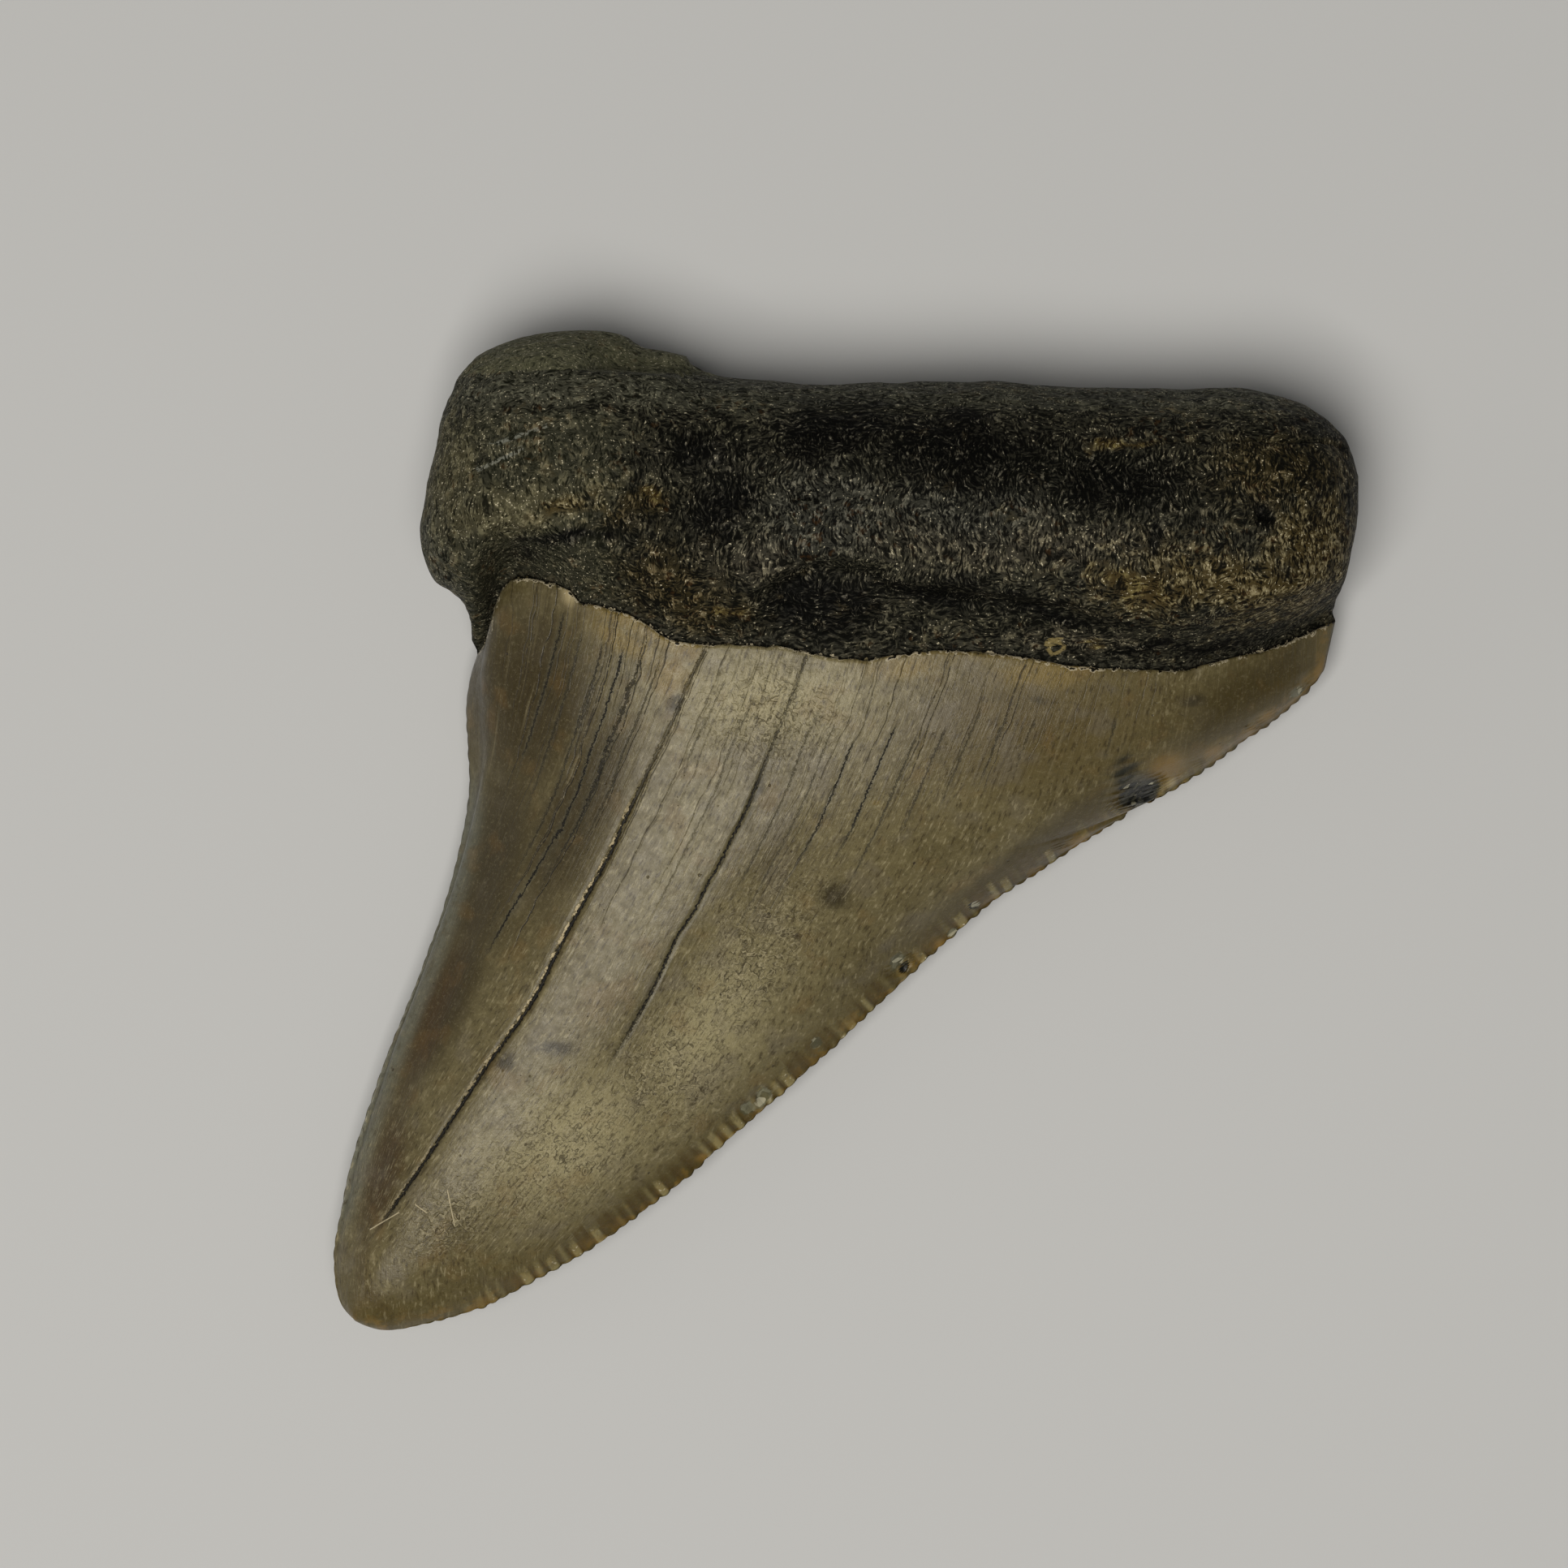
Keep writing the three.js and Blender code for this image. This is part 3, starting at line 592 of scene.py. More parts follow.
top = inner_ids[-1]
quads = np.concatenate([quads_of(inner_ids), quads_of(outer_ids)[:, ::-1]])
triangles = np.concatenate([
    tip_of(inner_ids), tip_of(outer_ids)[:, ::-1],
    np.stack([top[2::2], top[:-2:2], top[1:-1:2]], axis=-1),
])
used, numbers = np.unique(np.concatenate([quads.ravel(), triangles.ravel()]), return_inverse=True)
quads, triangles = numbers[: quads.size].reshape(-1, 4), numbers[quads.size:].reshape(-1, 3)
points = np.concatenate([inner_points.reshape(-1, 3), outer_points.reshape(-1, 3)])[used]


def per_point(inner_crown_values, inner_root_values, outer_crown_values, outer_root_values):
    """One value for each point of the skin, from the values on the four grids."""
    inner = np.concatenate([inner_crown_values, inner_root_values]).ravel()
    outer = np.concatenate([outer_crown_values, outer_root_values]).ravel()
    return np.concatenate([inner, outer])[used]


on_crown = per_point(np.ones(inner_across.shape), np.zeros(inner_root_across.shape),
                     np.ones(outer_across.shape), np.zeros(outer_root_across.shape))
on_inner = per_point(np.ones(inner_across.shape), np.ones(inner_root_across.shape),
                     np.zeros(outer_across.shape), np.zeros(outer_root_across.shape))
across_share = per_point(inner_across, inner_root_across, outer_across, outer_root_across)
along_share = per_point(*(np.broadcast_to(shares[:, None], grid.shape) for shares, grid in (
    (crown_along, inner_across), (1 + root_up, inner_root_across),
    (crown_along, outer_across), (1 + root_up, outer_root_across))))
print("points", len(points), "triangles", 2 * len(quads) + len(triangles))

# %% [markdown]
# The root is bone that lay in the sea floor: lumpy, pitted and fibrous. The relief is added along the
# skin's own normals, so the steep sides get it as well. Enamel is smooth, with only the faintest waves.

# %% Relief along the normals


def normals_of(points):
    """Unit normals: each face's cross product of its diagonals, summed on its corners."""
    total = np.zeros_like(points)
    for faces, (a, b, c, d) in ((quads, (0, 2, 1, 3)), (triangles, (0, 1, 0, 2))):
        face = np.cross(points[faces[:, b]] - points[faces[:, a]], points[faces[:, d]] - points[faces[:, c]])
        for corner in range(faces.shape[1]):
            for axis in range(3):
                total[:, axis] += np.bincount(faces[:, corner], face[:, axis], len(points))
    return total / np.linalg.norm(total, axis=1, keepdims=True)


RING_PIT = (11.31, 10.13)
PORES = {  # centre, reach, turn in degrees, depth, in mm
    "nutrient hole": ((-2.25, 18.1), (0.5, 0.38), 20, 0.9),
    "slot": ((22.3, 17.2), (0.32, 0.8), 12, 0.9),
    "ring pit": (RING_PIT, (0.5, 0.45), 0, 0.5),
    "second ring": ((12.75, 10.15), (0.32, 0.3), 0, 0.3),
    "streak": ((16.5, 15.6), (0.22, 1.4), 3, 0.25),
}
ROOT_CRACK = curve_through([  # a fine crack across the right lobe
    (17.4, 21.15), (20.0, 21.2), (22.8, 21.15), (26.4, 21.1), (27.2, 20.2),
])
x, y, z = points.T
zeros = np.zeros(inner_root_across.shape), np.zeros(outer_root_across.shape)
long_near = per_point(inner_facts["long"], zeros[0], outer_facts["long"], zeros[1])
short_near = per_point(inner_facts["short"], zeros[0], outer_facts["short"], zeros[1])
from_line = np.where(on_inner > 0.5, distance_to(INNER_ENAMEL_LINE["line"][::12], x, y),
                     distance_to(OUTER_ENAMEL_LINE["line"][::20], x, y))
on_root = (1 - on_crown) * smoothstep(0.02, 0.5, from_line)
in_band = on_inner * on_root * (lip_step(x, y, 0) > 0.6)
upright = smoothstep(12, 15, y) * (1 - smoothstep(20, 23, y))
fibres = mix(noise(points, (1.6, 0.3, 0.6), 31), noise(points, (0.3, 1.3, 0.6), 32), upright)
relief = on_root * (0.2 * rough(points, 4.0, 33) + 0.09 * rough(points, 1.1, 34) + 0.045 * fibres)
relief += in_band * 0.14 * rough(points, 0.8, 35)
relief += on_crown * 0.035 * rough(points, 6.0, 36) * smoothstep(0.3, 2.5, np.minimum(long_near, short_near))
for centre, reach, turn, depth in PORES.values():
    relief -= on_inner * on_root * depth * bowl(x, y, centre, reach, turn)
crack_near = distance_to(ROOT_CRACK["line"][::20], x, y) + 0.04 * noise(points, 0.5, 37)
relief -= on_inner * on_root * 0.22 * groove(crack_near, 0.2)
points = points + normals_of(points) * relief[:, None]
points = np.clip(points, np.array(cad_box[0]) / MM + 0.002, np.array(cad_box[1]) / MM - 0.002)
print("relief from %.2f to %.2f mm" % (relief.min(), relief.max()))

# %% [markdown]
# The mesh gets two UV maps. `grain` holds how far a point lies across the enamel's grain and how far
# up the tooth, in centimetres: the grain fans out from the tip, and all the fine cracks follow it.
# `shares` holds the two shares that the surface was worked out from.

# %% The mesh and its maps
GRAIN_LINES = [np.array(line) for line in (  # each from the root down to the tip, left to right
    [(-20.3, 14), (-20.6, 8.7), (-20.9, 7), (-20.8, 4.6), (-21.05, 0), (-22.75, -6), (-25.87, -14),
     (-28, -23)],
    [(-14.9, 14), (-15.57, 10.7), (-16.38, 7.67), (-17.39, 4.63), (-19.2, 0), (-20.9, -4), (-22.3, -8),
     (-24.2, -13), (-25.8, -17.5), (-27.2, -23)],
    [(-11.4, 14), (-12.33, 8.83), (-13.17, 5.97), (-14.26, 3.11), (-15.51, 0.25), (-17.15, -2.6),
     (-18.07, -4.03), (-19.9, -7.3), (-22.6, -12.5), (-24.7, -17), (-26.8, -23)],
    [(-6.0, 14), (-8.48, 8.16), (-11.27, 2.08), (-14.31, -3.99), (-17.58, -10.06), (-21.75, -16.13),
     (-26.3, -23)],
    [(-1.0, 14), (-2.6, 8.16), (-4.82, 2.62), (-7.54, -2.92), (-10.44, -8.45), (-13.53, -14),
     (-20.5, -23)],
    [(5.2, 14), (2.7, 6.15), (0.11, 0.25), (-3.2, -5.5), (-6.5, -11), (-10.5, -17), (-15.5, -23)],
    [(13.0, 14), (11.6, 9.2), (9.2, 2.8), (7.5, -1.6), (5.0, -6)],
    [(17.8, 14), (17.0, 9.2), (15.8, 3.2), (14.6, -1)],
    [(21.0, 14), (21.0, 9.2), (20.6, 3)],
    [(28.0, 14), (28.0, 5)],
)]
GRAIN_ZERO = 9.2  # the Y at which a place across the grain is its X


def grain_of(x, y):
    """Where a point lies across the grain: the X at which its grain line crosses Y = 9.2, a share of the
    way from one measured line to the next. The second number is how much narrower the grain is here."""
    here = [np.interp(y, line[::-1, 1], line[::-1, 0]) for line in GRAIN_LINES]
    home = [np.interp(GRAIN_ZERO, line[::-1, 1], line[::-1, 0]) for line in GRAIN_LINES]
    u, narrow = home[0] + np.minimum(0, x - here[0]), np.ones_like(x)
    for k in range(len(GRAIN_LINES) - 1):
        wide = here[k + 1] - here[k]
        u = u + (home[k + 1] - home[k]) * np.clip((x - here[k]) / wide, 0, 1)
        narrow = np.where((x >= here[k]) & (x < here[k + 1]), wide / (home[k + 1] - home[k]), narrow)
    return u, narrow


mesh = bpy.data.meshes.new("fossil_tooth")
mesh.from_pydata((points * MM).tolist(), [], quads.tolist() + triangles.tolist())
mesh.shade_smooth()
tooth = bpy.data.objects.new("fossil_tooth", mesh)
bpy.context.collection.objects.link(tooth)

x, y, z = points.T
across_grain, narrow = grain_of(x, y)
corner_points = np.empty(len(mesh.loops), dtype=np.int32)
mesh.loops.foreach_get("vertex_index", corner_points)
CM = 0.1  # centimetres to a millimetre, the unit of the grain map
for name, u, v in (("grain", across_grain * CM, y * CM), ("shares", across_share, along_share)):
    layer = mesh.uv_layers.new(name=name)
    layer.uv.foreach_set("vector", np.stack([u, v], axis=1)[corner_points].ravel().astype(np.float32))
print("UV maps:", [layer.name for layer in mesh.uv_layers])

# %% [markdown]
# Where a colour or a crack sits is kept as numbers on the mesh's points, each a plain formula of the
# place. A crack is stored as the distance to its line, with a sign for the side: such a number passes
# straight through zero on the line, so the drawn crack stays as thin as a hair between the points.

# %% Patches of the enamel, in mm
CROWN_PATCHES = {  # (centre, reach, turn in degrees) of each patch, in mm
    "smudge": [((-0.47, -3.32), (1.0, 0.9), 0), ((-15.74, -11.67), (1.3, 0.5), 0),
               ((10.56, 7.04), (0.22, 0.4), 0), ((9.58, 8.07), (0.15, 0.12), 0),
               ((-2.6, -5.6), (0.2, 0.2), 0), ((-18.6, -12.4), (0.7, 0.5), 40),
               ((-9.2, 7.0), (0.5, 1.0), -28), ((-4.9, 2.4), (0.35, 1.2), -28),
               ((18.9, 7.2), (0.8, 0.4), 0)],
    "soot": [((15.2, 3.4), (0.7, 1.2), 8), ((16.2, 2.6), (1.3, 0.7), 20)],
    "stain": [((-9.3, 8.4), (1.1, 1.3), 30), ((-12.0, 10.4), (2.4, 0.7), -30),
              ((3.0, 8.9), (2.2, 0.8), 0), ((10.7, 8.6), (3.0, 0.8), 0), ((1.67, 1.68), (0.25, 0.2), 0),
              ((18.0, 3.3), (1.5, 0.8), 25), ((12.6, -0.4), (0.9, 0.4), 30),
              ((25.2, 8.0), (1.3, 0.5), 55), ((26.5, 9.9), (0.6, 1.3), 0), ((22.6, 6.0), (1.2, 0.4), 38),
              ((20.6, 4.8), (0.9, 0.5), 38)],
    # pale: paler enamel on the crest, partly a painted highlight where the crest catches the overhead light
    "pale": [((-3.6, 7.4), (4.6, 2.2), 0), ((-9.5, -1.0), (2.0, 7.0), -28),
             ((-15.5, -16.5), (4.6, 3.6), 35), ((-6.5, -10.0), (3.0, 6.0), -35)],
    # light: a painted highlight, low on the blade, at the crown's foot and in the middle of the crest
    "light": [((-15.2, -16.8), (5.0, 3.2), 35), ((-3.8, 7.4), (5.2, 2.2), 0),
              ((-7.5, -11.0), (2.4, 4.5), -35)],
    "olive": [((23.5, 7.4), (7.0, 3.0), 30), ((10.0, -1.5), (7.5, 1.2), 38),
              ((-8.0, -18.9), (8.5, 1.4), 33)],
    "tan": [((10.5, 6.0), (6.5, 3.6), 5)],
    # brown: the left flank's brown stain, partly painted shade where the flank faces away from the light
    "brown": [((-17.2, 7.5), (4.6, 6.5), -5), ((-19.4, -1.5), (2.6, 7.0), -15),
              ((-14.5, 1.0), (2.2, 7.0), -24), ((-21.8, -9.0), (1.6, 6.0), -28)],
    "amber": [((-25.4, -18.6), (1.2, 4.2), -16), ((-22.6, -10.0), (0.8, 4.5), -22)],
    "golden": [((5.1, -6.2), (0.5, 0.25), 42), ((-8.0, -17.9), (0.35, 0.3), 0),
               ((20.2, 4.3), (0.6, 0.35), 38), ((22.3, 5.5), (0.5, 0.3), 38),
               ((23.3, 6.3), (0.5, 0.3), 40), ((26.2, 8.9), (0.35, 0.9), -15),
               ((13.0, -0.4), (0.7, 0.35), 35), ((17.6, 3.5), (1.1, 0.8), 20)],
    "cream": [((18.06, 2.73), (0.4, 0.35), 20), ((-14.9, 13.0), (0.22, 0.7), -20)],
    "glassy": [((2.9, -7.1), (0.35, 0.6), -20), ((-4.6, -14.6), (0.35, 0.7), -20),
               ((-5.4, -15.3), (0.4, 0.4), 0), ((-1.4, -11.5), (0.35, 0.4), 0),
               ((5.9, -5.5), (0.35, 0.3), 0), ((24.9, 7.7), (0.4, 0.3), 40)],
    "chipped": [((16.3, 2.1), (1.2, 0.7), 15), ((15.5, 2.5), (0.3, 0.7), 10),
                ((3.3, -7.5), (0.2, 0.35), -20), ((7.1, -4.1), (0.25, 0.2), 0)],
    "pitted": [((-5.0, -7.0), (2.4, 5.0), -30), ((-15.5, -17.5), (4.6, 2.8), 35),
               ((-4.0, 6.5), (3.4, 2.4), 0), ((-9.5, -13.0), (2.8, 4.0), -35),
               ((-21.5, -21.0), (2.6, 1.6), 30)],
}
print("crown:", {name: len(places) for name, places in CROWN_PATCHES.items()})

# %% Patches of the root, in mm
ROOT_PATCHES = {
    "mossy": [((-17.8, 17.4), (5.5, 2.0), 8), ((-21.5, 19.5), (1.6, 4.0), -5)],
    "umber": [((-9.0, 13.2), (3.8, 2.4), -25), ((23.2, 19.6), (4.6, 2.2), 0),
              ((-11.5, 17.0), (2.6, 1.0), 15)],
    "dusty": [((8.0, 15.6), (9.0, 1.7), -4), ((-4.6, 14.6), (2.6, 1.2), 0),
              ((12.4, 10.3), (3.4, 0.9), -5)],
    "beige": [((-14.8, 17.8), (2.2, 0.7), 8), ((20.5, 13.4), (7.0, 2.1), -3),
              ((25.4, 15.4), (2.6, 3.2), 0)],
    "grey": [((-1.4, 17.4), (4.2, 3.2), 0), ((6.2, 17.4), (5.5, 1.9), 0)],
    # black: dark stains of the bone, and painted shade in the saddle beside the left lobe, under the left
    # lobe, in the recess under the lip and along the border under the root's overhang
    "black": [((-6.6, 17.8), (1.9, 2.6), -20), ((-7.8, 20.6), (2.8, 1.2), 10),
              ((-0.6, 21.8), (4.0, 1.5), 10), ((6.5, 20.6), (6.0, 2.4), -8),
              ((14.4, 19.0), (4.6, 1.9), -6), ((-1.6, 12.4), (3.6, 1.7), -4),
              ((4.6, 13.1), (4.0, 0.9), -6), ((11.0, 11.95), (3.8, 0.45), -17),
              ((16.5, 15.6), (0.35, 1.7), 3), ((-14.8, 15.7), (3.6, 0.6), 8),
              ((22.3, 17.2), (0.7, 1.2), 12), ((18.0, 9.9), (7.0, 0.4), 3)],
    "ochre": [((15.0, 20.9), (2.4, 0.2), 4), ((18.3, 14.6), (0.7, 0.4), 0),
              ((15.4, 13.4), (2.4, 0.8), -6), ((13.5, 10.3), (0.3, 0.3), 0),
              ((-10.6, 17.7), (0.5, 0.6), 20), ((-6.6, 12.1), (0.8, 0.3), -25)],
}
print("root:", {name: len(places) for name, places in ROOT_PATCHES.items()})

# %% Scratches, closed cracks and hair cracks, in mm
SCRATCHES = [  # pale ones near the tip and on the left lobe, each from one end to the other
    ((-26.1, -21.8), (-24.3, -20.7)), ((-21.7, -19.4), (-21.3, -21.5)), ((-23.6, -20.2), (-22.6, -20.9)),
    ((-20.0, 19.4), (-17.2, 20.6)), ((-19.0, 20.8), (-15.8, 21.9)),
]
CLOSED_CRACKS = [  # place across the grain, lower and upper end, all in mm, and darkness
    (-15.95, 2.5, 12.2, 0.75), (-14.7, 0.5, 11.0, 0.45), (-13.45, -3.0, 10.6, 0.5),
    (-12.25, -7.5, 10.2, 1.0), (-11.2, -3.0, 9.8, 0.7), (-10.1, -1.0, 9.4, 0.45), (-6.2, 2.0, 8.6, 0.3),
    (-4.3, -5.5, 7.6, 0.3), (-0.6, -4.5, 7.0, 0.4), (0.6, -6.0, 6.2, 0.35), (2.0, -2.6, 5.3, 0.9),
    (3.9, -1.9, 6.1, 1.0), (5.3, -3.5, 5.5, 0.5), (6.7, -1.0, 6.0, 0.5), (8.2, 0.6, 7.2, 0.45),
    (9.8, 1.8, 6.8, 0.4), (11.4, 2.4, 6.5, 0.35), (15.4, 3.4, 6.5, 0.6),
]
HAIR_CRACKS = np.array([  # place across the grain, how far down hair cracks reach, how dark they are
    (-20, 3, 0.2), (-16, -3, 0.8), (-12, -8, 1.0), (-8.6, -5, 0.85), (-7, -6, 0.6), (-2.5, -5, 0.55),
    (-1, -5, 0.6), (4, -6, 0.85), (8, -1, 0.85), (12, 1.5, 0.7), (17, 4, 0.35), (20, 7, 0.1),
]).T
print("%d scratches, %d closed cracks" % (len(SCRATCHES), len(CLOSED_CRACKS)))

# %% From tables to numbers


def patches(points, places, wander, seed):
    """The strongest of several soft ellipses, exp(-r^2), whose outlines wander by up to this many mm."""
    px = points[:, 0] + wander * rough(points, 1.8, seed)
    py = points[:, 1] + wander * rough(points, 1.8, seed + 50)
    total = np.zeros(len(points))
    for centre, reach, turn in places:
        total = np.maximum(total, np.exp(-ellipse(px, py, centre, reach, turn)))
    return total


def side_distance(line, x, y):
    """The distance to a line, positive to its right and negative to its left, both cut off at 2 mm."""
    order = np.argsort(line[:, 1])
    right = np.sign(x - np.interp(y, line[order, 1], line[order, 0]))
    return np.clip(distance_to(line, x, y), 0, 2) * right


def closed_cracks(u, v, narrow):
    """The distance to the nearest of these lines, whose sign changes on each line and nowhere else, and
    how dark that line is here, which fades over its lowest 3 mm."""
    places, low, high, dark = np.array(CLOSED_CRACKS).T
    strayed = u + 0.12 * noise(np.stack([np.zeros_like(u), v, u], axis=-1), (1.0, 2.6, 9.0), 41)
    nearest = np.abs(strayed[:, None] - places).argmin(axis=1)
    passed = (strayed[:, None] > places).sum(axis=1)
    away = narrow * np.abs(strayed - places[nearest]) * np.where(passed % 2, 1, -1)
    reach = smoothstep(0, 3, v - low[nearest]) * smoothstep(0, 0.8, high[nearest] - v)
    return np.clip(away, -2, 2), dark[nearest] * reach


print("closed cracks lie from", CLOSED_CRACKS[0][0], "to", CLOSED_CRACKS[-1][0], "across the grain")

# %% Marks on the points
CROWN_WANDER, ROOT_WANDER = 0.35, 1.1  # mm by which the patches' outlines stray
front = on_inner
marks = {}
for table, wander, seed in ((CROWN_PATCHES, CROWN_WANDER, 60), (ROOT_PATCHES, ROOT_WANDER, 70)):
    marks.update({name: front * patches(points, places, wander, seed) for name, places in table.items()})
amber_strip = 0.5 * np.exp(-((short_near - 1.7) / 0.8) ** 2) * smoothstep(4, -12, y)
marks["amber"] = np.maximum(marks["amber"], amber_strip)
left_stain = smoothstep(-14.6, -12.6, x) * smoothstep(-7.4, -8.2, x)
rim_stain = left_stain + 0.5 * smoothstep(-3, 2, x) * smoothstep(14, 11, x)
marks["stain"] = np.maximum(marks["stain"], front * rim_stain * np.exp(-((from_line / 0.9) ** 2)))
# painted reflection: a pale grey-blue sheen along the flange beside the short edge
marks["flange"] = np.exp(-((short_near / 1.15) ** 2)) * smoothstep(6, 0, y) * smoothstep(-25, -19, y)
marks["crack_a"], marks["crack_b"] = (side_distance(c["line"][::12], x, y) for c in (CRACK_A, CRACK_B))
marks["crack_a_open"] = front * smoothstep(-22.5, -20, y) * mix(1, 0.5, smoothstep(0, 5, y))
marks["crack_b_open"] = front * smoothstep(-14, -9, y) * mix(1, 0.6, smoothstep(0, 5, y))
marks["closed"], closed_dark = closed_cracks(across_grain, y, narrow)
marks["closed_open"] = closed_dark * front
for name, row in zip(("hair_low", "hair_dark"), HAIR_CRACKS[1:]):
    marks[name] = np.interp(across_grain, HAIR_CRACKS[0], row)
marks["long_edge"] = long_near
marks["phase"] = per_point(inner_facts["phase"], zeros[0], outer_facts["phase"], zeros[1])
marks["ribbed"] = per_point(inner_facts["ribbed"], zeros[0], outer_facts["ribbed"], zeros[1])
marks["from_enamel"] = from_line * np.where(on_crown > 0.5, -1, 1)
marks["upright"] = upright
marks["top"] = np.maximum(smoothstep(21.6, 24.0, y), smoothstep(-20.6, -22.4, x))
marks["plain"] = smoothstep(-10, -14, x) * (1 - marks["top"])
marks["ledge"] = front * (y > LEDGE_Y) * (x < -7)
marks["face"] = front
marks["ring"] = np.clip(np.hypot(x - RING_PIT[0], y - RING_PIT[1]), 0, 1.5)
SCRATCH_REACH = 0.5  # mm beside a scratch within which its distance is kept
marks["scratch"], marks["scratched"] = np.full(len(points), SCRATCH_REACH), np.zeros(len(points))
for start, end in SCRATCHES:
    length = np.hypot(*np.subtract(end, start))
    way = np.subtract(end, start) / length
    beside = (x - start[0]) * way[1] - (y - start[1]) * way[0]
    reach = (x - start[0]) * way[0] + (y - start[1]) * way[1]
    near = np.clip(1 - np.abs(beside) / SCRATCH_REACH, 0, 1) * (reach > 0) * (reach < length) * front
    marks["scratch"] = np.where(near > 0, beside, marks["scratch"])
    marks["scratched"] = np.maximum(marks["scratched"], near)
for name, values in marks.items():
    mesh.attributes.new(name, "FLOAT", "POINT").data.foreach_set("value", values.astype(np.float32))
print("marks:", ", ".join(marks))

# %% [markdown]
# A material is a small network of nodes. One function adds a node, fills its sockets in order or by
# name, and hands back an output. Two recipes build on it: `share_of` multiplies several conditions into
# one number from 0 to 1, and `coat` lays a colour over another one by such a share, so that a finish
# reads like a list of coats of paint. Colours are written as they look on a screen, and one function
# turns them into the linear light that nodes use.

# %% Colours, nodes and coats
TIMES, PLUS, SOFT = {"operation": "MULTIPLY"}, {"operation": "ADD"}, {"interpolation_type": "SMOOTHSTEP"}


def linear(hex_colour):
    """Screen colour to linear light: c / 12.92 up to 0.04045, and ((c + 0.055) / 1.055)^2.4 above."""
    screen = [int(hex_colour[i:i + 2], 16) / 255 for i in (1, 3, 5)]
    return [c / 12.92 if c <= 0.04045 else ((c + 0.055) / 1.055) ** 2.4 for c in screen] + [1.0]


def node(tree, kind, inputs=(), out=0, **settings):
    """One node of this kind. Its inputs are filled in order, or by name from a dictionary: a link
    where the value is another node's output. The output asked for comes back, counted or named."""
    made = tree.nodes.new("ShaderNode" + kind)
    for name, value in settings.items():
        setattr(made, name, value)
    open_sockets = [socket for socket in made.inputs if socket.enabled]
    for key, value in inputs.items() if isinstance(inputs, dict) else enumerate(inputs):
        socket = open_sockets[key] if isinstance(key, int) else next(s for s in open_sockets if s.name == key)
        if isinstance(value, bpy.types.NodeSocket):
            tree.links.new(value, socket)
        else:
            socket.default_value = value
    outputs = [socket for socket in made.outputs if socket.enabled]
    return outputs[out] if isinstance(out, int) else next(s for s in outputs if s.name == out)


def share_of(tree, *parts):
    """The product of several conditions. Each is a number, an output, or (output, low, high): a soft
    step that is 0 where the output is at low and 1 at high, or two other numbers if they follow."""
    made = [node(tree, "MapRange", part, **SOFT) if isinstance(part, tuple) else part for part in parts]
    return functools.reduce(lambda a, b: node(tree, "Math", [a, b], **TIMES), made)


def coat(tree, colour, paint, *parts):
    """A hex paint, or another colour, laid over a colour by the product of these conditions."""
    paint = linear(paint) if isinstance(paint, str) else paint
    return node(tree, "Mix", [share_of(tree, *parts), colour, paint], data_type="RGBA")


def start_material(name, noises, mark_names):
    """An empty material: its tree, its shader, the place on the object in metres, noise patterns by
    name, given as lump size in mm, finer detail and its roughness, and the marks of these names."""
    material = bpy.data.materials.new(name)
    material.use_nodes = True
    tree = material.node_tree
    tree.nodes.clear()
    shader = tree.nodes.new("ShaderNodeBsdfPrincipled")
    output = tree.nodes.new("ShaderNodeOutputMaterial")
    tree.links.new(shader.outputs[0], output.inputs[0])
    place = node(tree, "TexCoord", out="Object")
    pattern = {}
    for key, (size, detail, rough_share) in noises.items():
        settings = {"Vector": place, "Scale": 1 / (size * MM), "Detail": detail, "Roughness": rough_share}
        pattern[key] = node(tree, "TexNoise", settings, out="Fac")
    mark = {key: node(tree, "Attribute", out="Fac", attribute_name=key) for key in mark_names}
    return material, tree, shader, place, pattern, mark


def jagged_border(tree, pattern, mark):
    """How far a point is past the enamel's broken border, in mm, and how clearly the pale line along the
    border shows, a painted highlight where the enamel's edge catches the light. Both finishes use it, so the
    line runs on from one to the other."""
    teeth = node(tree, "MapRange", [pattern["grit"], 0.3, 0.7, -0.17, 0.17])
    past = node(tree, "Math", [mark["from_enamel"], teeth], **PLUS)
    rim = share_of(tree, (past, -0.11, -0.05), (past, 0.02, -0.02), (pattern["patchy"], 0.42, 0.5))
    return past, share_of(tree, rim, mark["face"])


def nicked(tree, mark, half_width, sharp, ends):
    """1 on the scratches, 0 from half their width outwards, and full from sharp inwards."""
    away = node(tree, "Math", [mark["scratch"]], operation="ABSOLUTE")
    return share_of(tree, (away, half_width, sharp), (mark["scratched"], *ends))


print("recipes: node, share_of, coat, start_material, jagged_border, nicked")

# %% [markdown]
# Enamel: a hard, smooth shell of fine crystals, stained olive-grey in the sediment. It is half glossy
# and lets a little light in at the thin edges. What makes it read as enamel is layered here: a warm
# base that drifts in tone, stains by name, a painted highlight along the crest, painted shade on the
# left flank and a painted reflection on the flange, fine streaks, flecks and closed cracks along the
# grain, pin-prick pits, and the open cracks with a dark core. Painted glints sit on the etched enamel,
# the chips and the teeth of the edge. Its bump is tiny: one's nail would hardly catch.

